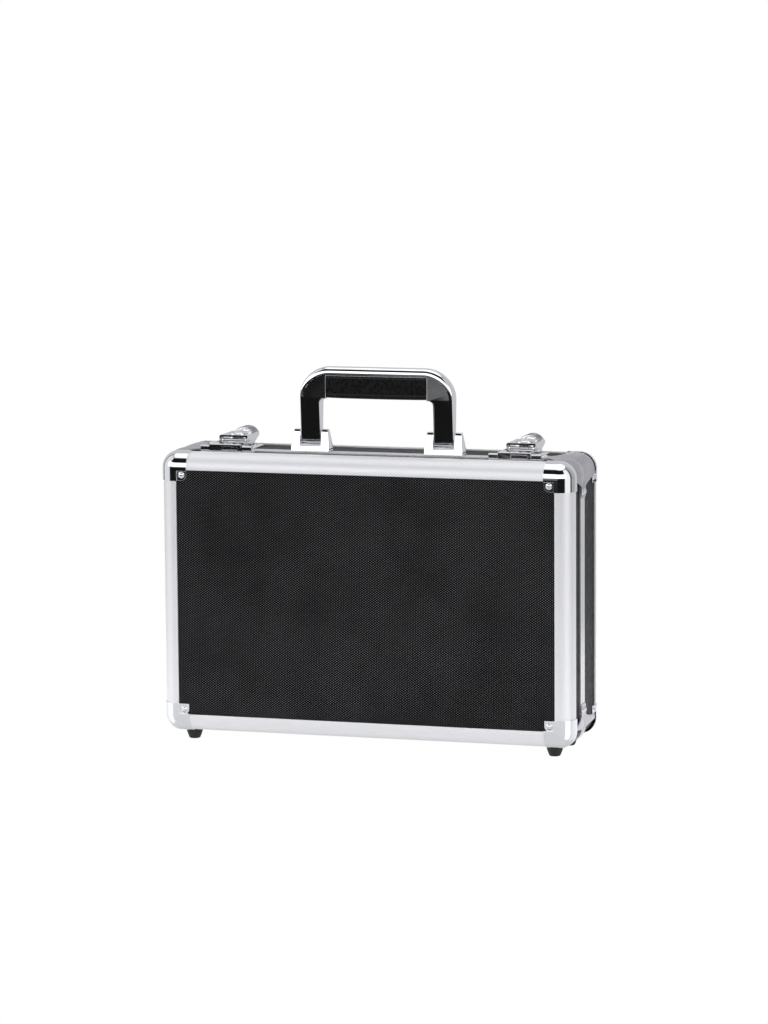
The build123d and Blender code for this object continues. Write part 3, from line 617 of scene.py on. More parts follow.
def edge_rings(thick: float, radius: float, steps: int = 3) -> Outline:
    """Lay out the rings of a slab whose lower and upper edges are rounded.

    Args:
        thick: The slab's thickness.
        radius: Radius of the rounding.
        steps: Straight runs in each rounding.

    Returns:
        The inset and height of each ring.
    """
    curve = [(radius * (1 - math.sin(a)), radius * (1 - math.cos(a)))
             for a in (math.pi / 2 * i / steps for i in range(steps + 1))]
    return curve + [(inset, thick - height) for inset, height in reversed(curve)]


class Shaper:
    """Collects solids in one mesh."""

    def __init__(self) -> None:
        """Start with nothing."""
        self.bm = bmesh.new()

    def rings(self, rings: Sequence[Sequence[Vector]], closed_path: bool = False) -> None:
        """Join rings of points into a closed tube.

        Args:
            rings: The rings, all with the same number of points.
            closed_path: Whether the last ring joins the first; if not, both ends are filled.
        """
        rows = [[self.bm.verts.new(p) for p in ring] for ring in rings]
        count = len(rows[0])
        pairs = list(zip(rows, rows[1:]))
        if closed_path:
            pairs.append((rows[-1], rows[0]))
        for low, high in pairs:
            for i in range(count):
                j = (i + 1) % count
                self.bm.faces.new((low[i], low[j], high[j], high[i]))
        if not closed_path:
            self.bm.faces.new(list(reversed(rows[0])))
            self.bm.faces.new(rows[-1])

    def lathe(self, profile: Outline, place: Matrix, steps: int = 32) -> None:
        """Turn a profile about the local Z axis and fill its ends.

        Args:
            profile: The radius and height of each point.
            place: The matrix of the local frame.
            steps: Straight runs in a full turn.
        """
        angles = [2 * math.pi * i / steps for i in range(steps)]
        self.rings([[place @ Vector((r * math.cos(a), r * math.sin(a), h)) for a in angles]
                    for r, h in profile])

    def mesh(self, crease: float = CREASE) -> bpy.types.Mesh:
        """Return the mesh, smooth but for creases sharper than the given angle in degrees."""
        bmesh.ops.recalc_face_normals(self.bm, faces=self.bm.faces)
        mesh = bpy.data.meshes.new("shape")
        self.bm.to_mesh(mesh)
        self.bm.free()
        return smoothed(mesh, crease)


def hold(mesh: bpy.types.Mesh) -> bpy.types.Object:
    """Return a passing object that holds a mesh while modifiers run on it."""
    holder = bpy.data.objects.new("holder", mesh)
    bpy.context.scene.collection.objects.link(holder)
    return holder


def release(holder: bpy.types.Object) -> bpy.types.Mesh:
    """Return the plain mesh that a passing object's modifiers give, and drop the object."""
    graph = bpy.context.evaluated_depsgraph_get()
    done = bpy.data.meshes.new_from_object(holder.evaluated_get(graph))
    bpy.data.objects.remove(holder)
    return done


def smoothed(mesh: bpy.types.Mesh, crease: float, bevel: float = 0.0) -> bpy.types.Mesh:
    """Shade a mesh smooth with flat faces kept flat, after rounding its edges if asked.

    Args:
        mesh: The mesh to finish.
        crease: Sharpest angle in degrees that is shaded smooth.
        bevel: Width of the rounding on edges sharper than the crease.

    Returns:
        The plain finished mesh.
    """
    mesh.polygons.foreach_set("use_smooth", [True] * len(mesh.polygons))
    holder = hold(mesh)
    if bevel > 0:
        edge = holder.modifiers.new("edge", "BEVEL")
        edge.width, edge.segments = bevel, 2
        edge.limit_method, edge.angle_limit = "ANGLE", math.radians(crease)
        edge.use_clamp_overlap = True
    else:
        mesh.set_sharp_from_angle(angle=math.radians(crease))
    weight = holder.modifiers.new("weight", "WEIGHTED_NORMAL")
    weight.weight, weight.keep_sharp = 100, True
    return release(holder)


def refined(node: str, bevel: float, crease: float) -> bpy.types.Mesh:
    """Return a merged copy of a CAD node's mesh with its edges rounded.

    Args:
        node: The CAD node.
        bevel: Width of the edge rounding.
        crease: Edges sharper than this many degrees are rounded.

    Returns:
        The copy's mesh.
    """
    bm = bmesh.new()
    bm.from_mesh(frame["nodes"][node].data)
    bmesh.ops.remove_doubles(bm, verts=bm.verts, dist=WELD)
    bmesh.ops.dissolve_limit(bm, angle_limit=FLAT, verts=bm.verts, edges=bm.edges)
    copy = bpy.data.meshes.new(node)
    bm.to_mesh(copy)
    bm.free()
    return smoothed(copy, crease, bevel)


def turned(origin: Vector, x_axis: Sequence[float], z_axis: Sequence[float]) -> Matrix:
    """Return the matrix of a local frame.

    Args:
        origin: Where it stands.
        x_axis: The way of its X axis.
        z_axis: The way of its Z axis.

    Returns:
        The matrix.
    """
    x, z = Vector(x_axis).normalized(), Vector(z_axis).normalized()
    matrix = Matrix((x, z.cross(x), z)).transposed().to_4x4()
    matrix.translation = origin
    return matrix


# ---------------------------------------------------------------- repeated pieces
class RepeatTree:
    """A geometry tree that repeats one small solid, with named sizes."""

    def __init__(self, name: str, sizes: dict[str, float]) -> None:
        """Start the tree with a geometry input, its named sizes and a geometry output.

        Args:
            name: The tree's name.
            sizes: The default of each named size.
        """
        self.tree = bpy.data.node_groups.new(name, "GeometryNodeTree")
        self.ids: dict[str, str] = {}
        self._socket("Geometry", "INPUT", "Geometry")
        for key, default in sizes.items():
            self._socket(key, "INPUT", "Float").default_value = default
        self._socket("Material", "INPUT", "Material")
        self._socket("Geometry", "OUTPUT", "Geometry")
        self.board = NodeBoard(self.tree)
        self.given = self.board.add("NodeGroupInput").outputs
        self.out = self.board.add("NodeGroupOutput").inputs[0]

    def _socket(self, key: str, way: str, kind: str) -> bpy.types.NodeTreeInterfaceSocket:
        """Add one socket to the tree and keep the identifier of an input."""
        socket = self.tree.interface.new_socket(key, in_out=way, socket_type=f"NodeSocket{kind}")
        if way == "INPUT":
            self.ids[key] = socket.identifier
        return socket

    def close(self, solid: bpy.types.NodeSocket, rotation: bpy.types.NodeSocket | None = None
              ) -> None:
        """End the tree: repeat the solid on the points, smooth it and set its material.

        Args:
            solid: The solid to repeat.
            rotation: How it is turned on each point, if it is.
        """
        board = self.board
        spots = board.add("GeometryNodeMeshToPoints", {"Mesh": self.given["Geometry"]})
        sockets = {"Points": spots.outputs[0], "Instance": solid}
        if rotation is not None:
            sockets["Rotation"] = rotation
        copies = board.add("GeometryNodeInstanceOnPoints", sockets)
        real = board.add("GeometryNodeRealizeInstances", {"Geometry": copies.outputs[0]})
        smooth = board.add("GeometryNodeSetShadeSmooth", {"Geometry": real.outputs[0]})
        dressed = board.add("GeometryNodeSetMaterial", {
            "Geometry": smooth.outputs[0], "Material": self.given["Material"]})
        self.tree.links.new(dressed.outputs[0], self.out)

    def bake(self, places: Sequence[Place], material: bpy.types.Material, sizes: dict[str, float]
             ) -> bpy.types.Mesh:
        """Run the tree on a row of places and return the plain result.

        Args:
            places: Where each solid stands and which way it looks.
            material: The material that the tree sets.
            sizes: The named sizes to use.

        Returns:
            The realized mesh.
        """
        mesh = bpy.data.meshes.new("points")
        mesh.from_pydata([tuple(spot) for spot, _ in places], [], [])
        facing = mesh.attributes.new("facing", "FLOAT_VECTOR", "POINT")
        facing.data.foreach_set("vector", [value for _, way in places for value in way])
        holder = hold(mesh)
        modifier = holder.modifiers.new("repeat", "NODES")
        modifier.node_group = self.tree
        modifier[self.ids["Material"]] = material
        for key, value in sizes.items():
            modifier[self.ids[key]] = value
        return release(holder)


def rivet_tree() -> RepeatTree:
    """Return the tree of dome headed rivets, each on a thin rolled washer."""
    made = RepeatTree("dome_rivets", {"Head radius": 2.7 * MM, "Head rise": 1.25 * MM})
    board, given = made.board, made.given
    radius, rise = given["Head radius"], given["Head rise"]
    dome_radius = board.maths("MULTIPLY", radius, 0.8)
    washer_rise = board.maths("MULTIPLY", rise, 0.38)
    both = board.add("GeometryNodeJoinGeometry")
    for segments, rings, wide, tall in ((24, 8, radius, washer_rise), (20, 12, dome_radius, rise)):
        ball = board.add(
            "GeometryNodeMeshUVSphere", {"Segments": segments, "Rings": rings, "Radius": 1.0})
        size = board.add("ShaderNodeCombineXYZ", {"X": wide, "Y": wide, "Z": tall})
        pressed = board.add(
            "GeometryNodeTransform", {"Geometry": ball.outputs[0], "Scale": size.outputs[0]})
        made.tree.links.new(pressed.outputs[0], both.inputs[0])
    facing = board.add(
        "GeometryNodeInputNamedAttribute", {"Name": "facing"}, data_type="FLOAT_VECTOR")
    turn = board.add(
        "FunctionNodeAlignRotationToVector", {"Vector": facing.outputs[0]}, axis="Z")
    made.close(both.outputs[0], turn.outputs[0])
    return made


def rib_tree() -> RepeatTree:
    """Return the tree of arched ribs, each a bent bead across the X axis."""
    made = RepeatTree("finger_ribs", {"Span": 9.0 * MM, "Rise": 8.6 * MM, "Bead": 0.5 * MM})
    board, given = made.board, made.given
    bow = board.add("GeometryNodeCurveArc", {
        "Resolution": 20, "Radius": 1.0,
        "Start Angle": math.radians(18), "Sweep Angle": math.radians(144)})
    stretch = board.add("ShaderNodeCombineXYZ", {"X": given["Span"], "Y": given["Rise"], "Z": 1.0})
    stood = board.add("GeometryNodeTransform", {
        "Geometry": bow.outputs["Curve"], "Scale": stretch.outputs[0]})
    raised = board.add("GeometryNodeTransform", {
        "Geometry": stood.outputs[0], "Rotation": (math.pi / 2, 0.0, 0.0)})
    bead = board.add(
        "GeometryNodeCurvePrimitiveCircle", {"Resolution": 8, "Radius": given["Bead"]})
    tube = board.add("GeometryNodeCurveToMesh", {
        "Curve": raised.outputs[0], "Profile Curve": bead.outputs["Curve"], "Fill Caps": True})
    made.close(tube.outputs[0])
    return made


# ---------------------------------------------------------------- the case
@dataclass(frozen=True)
class CoverSizes:
    """Sizes of the corner covers, which both halves share.

    Attributes:
        bend: Radius of the case's outer corner.
        side_reach: How far a cover runs down the side.
        level_reach: How far it runs along the top or the bottom.
        taper: Distance from the corner where it starts to narrow.
        foot_clear: The same distance beside a foot.
        foot_taper: Length of the narrowing beside a foot.
        tab: Width of the riveted tab at each end.
        tab_run: Length of the side tab with its neck.
        tab_length: Length of a tab alone.
        tip: Length of a tab's rounded tip.
        tip_loss: How much narrower the tip's end is.
        skin: Height of the face over the boards.
        bow: Rise of the face between its long edges.
        edge_drop: How far the face falls off at its edges.
        lip_drop: How far it falls off just inside them.
    """

    bend: float = 13.0 * MM
    side_reach: float = 31.0 * MM
    level_reach: float = 36.5 * MM
    taper: float = 15.0 * MM
    foot_clear: float = 11.5 * MM
    foot_taper: float = 0.5 * MM
    tab: float = 6.6 * MM
    tab_run: float = 10.5 * MM
    tab_length: float = 9.0 * MM
    tip: float = 3.0 * MM
    tip_loss: float = 2.2 * MM
    skin: float = 0.5 * MM
    bow: float = 0.6 * MM
    edge_drop: float = 0.45 * MM
    lip_drop: float = 0.12 * MM


@dataclass
class CaseHalf:
    """The lid or the base: its panel, boards, edges, corners, rim, lining and feet.

    Attributes:
        body: The half's body, lid or base.
        toward: 1 if its inside faces the rear, -1 if it faces the front.
        cover_width: Width of its corner covers.
        dresser: Turns meshes into pieces.
        sizes: The sizes of the corner covers.
        foot_edge: Rounding of a foot's lower edge.
        foot_ring: Depth of the moulded ring under a foot.
    """

    body: str
    toward: int
    cover_width: float
    dresser: Dresser
    sizes: CoverSizes = field(default_factory=CoverSizes)
    foot_edge: float = 1.3 * MM
    foot_ring: float = 0.5 * MM

    def __post_init__(self) -> None:
        """Read the half's place from the frame."""
        self.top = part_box(f"{self.body}_top_extrusion")[1].z
        self.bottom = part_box(f"{self.body}_bottom_extrusion")[0].z
        self.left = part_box(f"{self.body}_left_extrusion")[0].x
        self.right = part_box(f"{self.body}_right_extrusion")[1].x
        cover_low, cover_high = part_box(f"{self.body}_corner_covers")
        self.join = cover_high.y if self.toward > 0 else cover_low.y

    def build(self) -> None:
        """Build and dress the whole half."""
        dress, body = self.dresser, self.body
        dress.paint_node(f"{body}_panel", Finish.PANEL)
        dress.paint_node(f"{body}_lining", Finish.LINING)
        dress.paint_node(f"{body}_corner_posts", Finish.BOARD)
        for side in ("top", "bottom", "left", "right"):
            dress.paint_node(f"{body}_{side}_board", Finish.BOARD)
            finish = Finish.EDGE_ACROSS if side in ("top", "bottom") else Finish.EDGE_UPRIGHT
            dress.refine(f"{body}_{side}_extrusion", "drawn", 0.25 * MM, finish, body)
        for up in ("top", "bottom"):
            for side in ("left", "right"):
                dress.refine(
                    f"{body}_{up}_{side}_cap", "plated", 0.22 * MM, Finish.CHROME, body, 40.0)
        dress.refine(f"{body}_rim", "drawn", 0.3 * MM, Finish.RIM, body)
        self._covers()
        for side in ("left", "right"):
            self._foot(f"{body}_{side}_foot")

    def _covers(self) -> None:
        """Build the four corner covers, bowed across their width."""
        shape = Shaper()
        for side in (-1, 1):
            for up in (-1, 1):
                self._cover(shape, side, up)
        node = f"{self.body}_corner_covers"
        self.dresser.piece(f"{node}_bowed", shape.mesh(), Finish.COVER, self.body, [node])

    def _path(self) -> list[tuple[float, float, float]]:
        """Lay out the stations of a corner cover, from its side tab to its level tab.

        Returns:
            For each station its distance below the corner, its angle in degrees round the bend and
            its distance beyond the bend.
        """
        s = self.sizes
        straight, bend, level = 7, 12, 14
        neck = s.side_reach - s.tab_run
        path = [(s.side_reach - s.tab_run * i / straight, 0.0, 0.0) for i in range(straight + 1)]
        path += [(neck + (s.bend - neck) * i / straight, 0.0, 0.0) for i in range(1, straight + 1)]
        path += [(s.bend, 90.0 * i / bend, 0.0) for i in range(1, bend + 1)]
        path += [(0.0, 90.0, (s.level_reach - s.bend) * i / level) for i in range(1, level + 1)]
        return path

    def _cover(self, shape: Shaper, side: int, up: int) -> None:
        """Loft one corner cover from its side tab, round the corner, to its level tab.

        Args:
            shape: The mesh that takes it.
            side: -1 on the left, 1 on the right.
            up: -1 at the bottom, 1 at the top.
        """
        s = self.sizes
        corner_x = self.left if side < 0 else self.right
        corner_z = self.top if up > 0 else self.bottom
        level_start = s.taper if up > 0 else s.foot_clear
        rings = []
        for down, angle, out in self._path():
            if angle == 0.0:
                width = self._cover_width(down, s.taper, s.side_reach)
            else:
                width = self._cover_width(s.bend + out, level_start, s.level_reach)
            bow = s.bow * (width - s.tab) / (self.cover_width - s.tab)
            turn = math.radians(angle)
            ring = []
            for share, outward in self._cover_section(bow):
                across, drop = -outward, down
                if angle > 0.0:
                    across = s.bend - (s.bend + outward) * math.cos(turn) + out
                    drop = s.bend - (s.bend + outward) * math.sin(turn)
                ring.append(Vector((corner_x - side * across,
                                    self.join - self.toward * share * width,
                                    corner_z - up * drop)))
            rings.append(ring)
        shape.rings(rings)

    def _cover_width(self, reach: float, start: float, limit: float) -> float:
        """Work out the width of a corner cover.

        Args:
            reach: Distance from the corner.
            start: Distance at which the cover starts to narrow.
            limit: Distance at which it ends.

        Returns:
            Its width there.
        """
        s = self.sizes
        if reach <= start:
            return self.cover_width
        taper_end = limit - s.tab_length if start == s.taper else start + s.foot_taper
        share = min(1.0, (reach - start) / (taper_end - start))
        width = self.cover_width + (s.tab - self.cover_width) * eased(share)
        tip = max(0.0, reach - (limit - s.tip)) / s.tip
        return width - s.tip_loss * tip * tip

    def _cover_section(self, bow: float) -> Outline:
        """Lay out a corner cover's cross section.

        Args:
            bow: Rise of its face between its long edges.

        Returns:
            For each point its share of the width and its distance outward.
        """
        s = self.sizes
        edge = [(0.0, s.skin - s.edge_drop), (0.01, s.skin - s.lip_drop), (0.035, s.skin)]
        face = [(share, s.skin + bow * (1 - (2 * share - 1) ** 2))
                for share in (0.1, 0.2, 0.35, 0.5, 0.65, 0.8, 0.9)]
        far_edge = [(1 - share, height) for share, height in reversed(edge)]
        return edge + face + far_edge + [(1.0, -s.skin), (0.0, -s.skin)]

    def _foot(self, node: str) -> None:
        """Turn one rubber foot: a tapered body with a soft edge and a moulded ring."""
        low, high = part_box(node)
        middle, wide, tall = (low + high) / 2, (high.x - low.x) / 2, high.z - low.z
        ring, edge = self.foot_ring, self.foot_edge
        sole = ((0.3, 0.0), (0.34, ring), (0.4, ring), (0.44, 0.0))
        flank = ((0.76, 0.33), (0.88, 0.6), (0.98, 0.8), (1.0, 0.86), (1.0, 1.0))
        profile = [(CORE, 0.0), *((wide * share, height) for share, height in sole)]
        profile += arc((wide * 0.63 - edge, edge), edge, -90, 80, 6)
        profile += [(wide * share, tall * climb) for share, climb in flank]
        profile.append((CORE, tall))
        shape = Shaper()
        shape.lathe(profile, Matrix.Translation((middle.x, middle.y, low.z)), 40)
        self.dresser.piece(f"{node}_moulded", shape.mesh(), Finish.FOOT, self.body, [node])


# ---------------------------------------------------------------- rivets
@dataclass
class Rivets:
    """The rivets of both halves: on caps, covers, latches, strikes, brackets and hinges.

    Attributes:
        dresser: Turns meshes into pieces.
        tree: The tree that makes the heads.
        large: Radius and rise of a large head.
        small: Radius and rise of a small head.
        plate_face: Height of a latch plate's or a strike's face over its lowest point.
        plate_spot: Distance of a latch plate's rivet from its middle and from its rear edge.
        strike_spot: Distance of a strike's rivet from its middle and from its front edge.
        leaf_half: Half the length of a hinge leaf.
        leaf_pitch: Spacing of the rivets on it.
        leaf_inset: Distance of those rivets from its free edge.
        leaf_drop: Depth of its face under the board.
    """

    dresser: Dresser
    tree: RepeatTree
    large: tuple[float, float] = (2.7 * MM, 1.25 * MM)
    small: tuple[float, float] = (1.9 * MM, 0.7 * MM)
    plate_face: float = 1.2 * MM
    plate_spot: tuple[float, float] = (9.5 * MM, 4.0 * MM)
    strike_spot: tuple[float, float] = (17.5 * MM, 8.6 * MM)
    leaf_half: float = 18.0 * MM
    leaf_pitch: float = 12.0 * MM
    leaf_inset: float = 3.6 * MM
    leaf_drop: float = 2.15 * MM

    def build(self) -> None:
        """Build the large and the small rivets of each half."""
        for half in ("lid", "base"):
            mesh = self._bake(self._large(half), self.large)
            self.dresser.piece(f"{half}_dome_rivets", mesh, Finish.RIVET, half, [f"{half}_rivets"])
            mesh = self._bake(self._small(half), self.small)
            self.dresser.piece(f"{half}_small_rivets", mesh, Finish.RIVET, half)

    def _bake(self, places: list[Place], size: tuple[float, float]) -> bpy.types.Mesh:
        """Return the mesh of heads of one size."""
        sizes = dict(zip(("Head radius", "Head rise"), size))
        return self.tree.bake(places, self.dresser.materials[Finish.RIVET], sizes)

    def _large(self, half: str) -> list[Place]:
        """Find the rivets of a half's CAD node, one for each separate solid.

        Args:
            half: lid or base.

        Returns:
            Where each head stands and which way it looks.
        """
        bm = bmesh.new()
        bm.from_mesh(frame["nodes"][f"{half}_rivets"].data)
        bmesh.ops.remove_doubles(bm, verts=bm.verts, dist=WELD)
        bm.verts.index_update()
        seen: set[int] = set()
        places = []
        for first in bm.verts:
            if first.index in seen:
                continue
            island, queue = [], [first]
            seen.add(first.index)
            while queue:
                vert = queue.pop()
                island.append(vert.co.copy())
                for edge in vert.link_edges:
                    other = edge.other_vert(vert)
                    if other.index not in seen:
                        seen.add(other.index)
                        queue.append(other)
            places.append(self._seat(island))
        bm.free()
        return places

    @staticmethod
    def _seat(island: list[Vector]) -> Place:
        """Find the seat of one rivet: the level of its widest ring.

        Args:
            island: The points of its solid.

        Returns:
            Where its head stands and which way it looks.
        """
        low = Vector(min(p[i] for p in island) for i in range(3))
        high = Vector(max(p[i] for p in island) for i in range(3))
        spans, middle = high - low, (low + high) / 2
        axis = min(range(3), key=lambda i: spans[i])
        wide = max(spans)
        ring = [p[axis] for p in island if (p - middle).length > 0.45 * wide
                and max(abs(p[i] - middle[i]) for i in range(3) if i != axis) > 0.44 * wide]
        seat = sum(ring) / len(ring)
        way = Vector((0.0, 0.0, 0.0))
        way[axis] = 1.0 if high[axis] - seat < seat - low[axis] else -1.0
        middle[axis] = seat
        return middle, way

    def _small(self, half: str) -> list[Place]:
        """Lay out the small rivets of a half's latch plates or strikes and of its hinge leaves.

        Args:
            half: lid or base.

        Returns:
            Where each head stands and which way it looks.
        """
        on_base = half == "base"
        kind = "latch_base" if on_base else "strike"
        apart, inset = self.plate_spot if on_base else self.strike_spot
        places = []
        up = Vector((0, 0, 1))
        for name in ("left", "right"):
            low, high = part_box(f"{kind}_{name}")
            middle, level = (low.x + high.x) / 2, low.z + self.plate_face
            y = high.y - inset if on_base else low.y + inset
            places += [(Vector((middle + step, y, level)), up) for step in (-apart, apart)]
        low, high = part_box(f"{half}_hinge_leaves")
        middle = high.x - self.leaf_half
        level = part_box(f"{half}_bottom_board")[0].z - self.leaf_drop
        y = high.y - self.leaf_inset if on_base else low.y + self.leaf_inset
        for side in (-1, 1):
            for step in (-self.leaf_pitch, 0.0, self.leaf_pitch):
                places.append((Vector((side * middle + step, y, level)), -up))
        return places


# ---------------------------------------------------------------- hinges
@dataclass
class Hinges:
    """The two hinges under the parting plane.

    Attributes:
        dresser: Turns meshes into pieces.
    """

    dresser: Dresser

    def build(self) -> None:
        """Dress the leaves and their pins."""
        for half in ("lid", "base"):
            self.dresser.refine(f"{half}_hinge_leaves", "rolled", 0.2 * MM, Finish.HINGE, half)
        self.dresser.refine("hinge_pins", "turned", 0.3 * MM, Finish.PIN, "base")


# ---------------------------------------------------------------- handle
@dataclass(frozen=True)
class BracketSizes:
    """Sizes of one handle bracket.

    Attributes:
        half: Half its width.
        slot: Half the gap between its cheeks.
        height: Height of its cheeks.
        toe: Height where a cheek starts to lean in.
        lean: How far a cheek's outer face leans in at its top.
        edge: Rounding of a cheek's edges.
        corner: Rounding of the foot plate's corners.
        bar: Radius of the stop bar.
        bar_place: Distance of the bar from the front and from the ground.
        foot: Inset and height of each ring of the foot plate.
        front: From the top down, inset, height and rounding of each corner of a cheek's front.
        rear: The same from the bottom up for its rear.
    """

    half: float = 16.0 * MM
    slot: float = 8.6 * MM
    height: float = 17.0 * MM
    toe: float = 3.0 * MM
    lean: float = 1.7 * MM
    edge: float = 0.9 * MM
    corner: float = 1.0 * MM
    bar: float = 1.3 * MM
    bar_place: tuple[float, float] = (2.5 * MM, 3.4 * MM)
    foot: tuple[tuple[float, float], ...] = tuple((inset * MM, height * MM) for inset, height in (
        (0.0, -0.45), (0.0, 0.0), (0.85, 3.3), (1.1, 3.8), (1.6, 4.1), (2.3, 4.2)))
    front: tuple[tuple[float, float, float], ...] = (
        (4.6 * MM, 17.0 * MM, 1.0 * MM), (3.4 * MM, 15.0 * MM, 1.2 * MM),
        (0.6 * MM, 3.0 * MM, 2.0 * MM), (0.2 * MM, 0.6 * MM, 0.2 * MM))
    rear: tuple[tuple[float, float, float], ...] = (
        (0.2 * MM, 0.6 * MM, 0.2 * MM), (0.6 * MM, 3.0 * MM, 2.0 * MM),
        (3.3 * MM, 15.0 * MM, 1.2 * MM), (4.5 * MM, 17.0 * MM, 1.0 * MM))


@dataclass
class Handle:
    """The swinging handle, its grip, its pins and the two brackets.

    Attributes:
        dresser: Turns meshes into pieces.
        arm: Width of an arm.
        bend: Outer radius of a bend.
        bead: Width of the raised border along the outer edge.
        bead_flank: Width of the step beside that border.
        bead_fall: How far the border falls towards the step.
        step: How far the flat face lies below the border.
        arm_edge: Rounding of the arms' outer edges.
        inner_edge: Rounding of the edges round the opening.
        bar_edge: Rounding of the top bar's outer edges, inward.
        bar_drop: The same rounding, front to rear.
        eye: Radius of the arm's end about its pin.
        waist: Depth of the arm at its eye, as a share of its full depth.
        taper: Height above the pin where the arm reaches its full depth.
        knee: Rounding of the opening's upper corners.
        roof_edge: Rounding of the corners above the grip's ends.
        grip_slim: Thickness of the grip near its ends, as a share of its middle's.
        grip_end: The same at its very ends.
        grip_lip: Length of the rounding at its ends.
        grip_under: Rounding of its lower edges.
        grip_over: Rounding of its upper edges.
        bracket: Sizes of a bracket.
    """

    dresser: Dresser
    arm: float = 16.4 * MM
    bend: float = 24.0 * MM
    bead: float = 1.9 * MM
    bead_flank: float = 0.25 * MM
    bead_fall: float = 0.02 * MM
    step: float = 0.14 * MM
    arm_edge: float = 0.9 * MM
    inner_edge: float = 0.5 * MM
    bar_edge: float = 5.2 * MM
    bar_drop: float = 4.2 * MM
    eye: float = 3.6 * MM
    waist: float = 0.6
    taper: float = 34.0 * MM
    knee: float = 4.0 * MM
    roof_edge: float = 0.6 * MM
    grip_slim: float = 0.955
    grip_end: float = 0.9
    grip_lip: float = 0.7 * MM
    grip_under: float = 5.4 * MM
    grip_over: float = 1.6 * MM
    bracket: BracketSizes = field(default_factory=BracketSizes)

    def __post_init__(self) -> None:
        """Read the handle's place from the frame."""
        low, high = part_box("handle_frame")
        pin_low, pin_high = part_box("handle_pins")
        self.half, self.rise = high.x, high.z
        self.axis_y = (low.y + high.y) / 2
        self.axis_z = (pin_low.z + pin_high.z) / 2
        self.depth = (high.y - low.y) / 2
        self.grip_low, self.grip_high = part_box("handle_grip")

    def build(self) -> None:
        """Build the frame, the grip, the pins and the brackets."""
        self._frame()
        self._grip()
        self.dresser.refine("handle_pins", "turned", 0.3 * MM, Finish.PIN, "base")
        self._brackets()

    def _outer(self) -> Outline:
        """Return the frame's outer contour from the right eye over the top to the left eye."""
        reach, level, foot = self.half - self.bend, self.rise - self.bend, self.axis_z - self.eye
        right = arc((reach, level), self.bend, 0, 90, 16)
        left = arc((-reach, level), self.bend, 90, 90, 16)
        return [(self.half, foot), *right, *left, (-self.half, foot)]

    def _inner(self) -> Outline:
        """Return the frame's inner contour from the left eye round the grip to the right eye."""
        gap, foot = self.half - self.arm, self.axis_z - self.eye
        end, under, roof = self.grip_high.x, self.grip_low.z, self.grip_high.z
        left = [(-gap, foot, 0.0), (-gap, under, self.knee), (-end, under, 0.0),
                (-end, roof, self.roof_edge)]
        return rounded(left + [(-x, z, radius) for x, z, radius in reversed(left)], 6)

    def _ring(self, cut: tuple[float, float], border: float = 0.0, step: float = 0.0
              ) -> list[Vector]:
        """Lay out one ring of the frame's front half.

        Args:
            cut: Shares of the edge rounding that the ring has gone inward and has yet to rise.
            border: How much further in it lies.
            step: How far it lies below the front.

        Returns:
            The ring's points, about the handle's own middle plane.
        """
        outer, inner = self._outer(), self._inner()
        base = outer + inner
        points = []
        for i, ((x, z), (near_x, near_z)) in enumerate(zip(base, inset_outline(base, MM))):
            edge, share, reach = self.inner_edge, 0.0, 0.2
            if i < len(outer):
                climb = (z - self.rise + self.bend) / self.bend
                edge, share = self.arm_edge, eased(min(1.0, max(0.0, climb)))
                reach = 1.0 - 0.75 * share
            wide = edge + (self.bar_edge - edge) * share
            deep = edge + (self.bar_drop - edge) * share
            inset = (wide * cut[0] + border * reach) / MM
            points.append(Vector((x + (near_x - x) * inset, -(self.depth - deep * cut[1] - step),
                                  z + (near_z - z) * inset)))
        return points

    def _frame(self) -> None:
        """Build the cast frame: full round top bar, raised border, flat face and tapered arms."""
        angles = [math.pi / 2 * i / 8 for i in range(9)]
        front = [self._ring((1 - math.cos(a), 1 - math.sin(a))) for a in angles]
        front.append(self._ring((1.0, 0.0), self.bead, self.bead_fall))
        front.append(self._ring((1.0, 0.0), self.bead + self.bead_flank, self.step))
        middle = [Vector((p.x, 0.0, p.z)) for p in self._ring((0.0, 0.0))]
        rear = [[Vector((p.x, -p.y, p.z)) for p in ring] for ring in reversed(front)]
        shape = Shaper()
        shape.rings([*rear, middle, *front])
        cuts = [self.axis_z - self.eye * math.sin(math.radians(a)) for a in (75, 60, 45, 30, 15)]
        cuts += [self.axis_z + self.taper * i / 6 for i in range(7)]
        for z in cuts:
            bmesh.ops.bisect_plane(
                shape.bm, geom=[*shape.bm.verts, *shape.bm.edges, *shape.bm.faces],
                plane_co=(0.0, 0.0, z), plane_no=(0.0, 0.0, 1.0), dist=WELD / 2)
        for vert in shape.bm.verts:
            climb = vert.co.z - self.axis_z
            vert.co.y *= self.waist + (1 - self.waist) * min(1.0, max(0.0, climb / self.taper))
            if climb < 0:
                vert.co.y *= math.sqrt(max(0.02, 1 - (climb / self.eye) ** 2))
            vert.co.y += self.axis_y
        self.dresser.piece(
            "handle_frame_cast", shape.mesh(30.0), Finish.CHROME, "handle", ["handle_frame"])

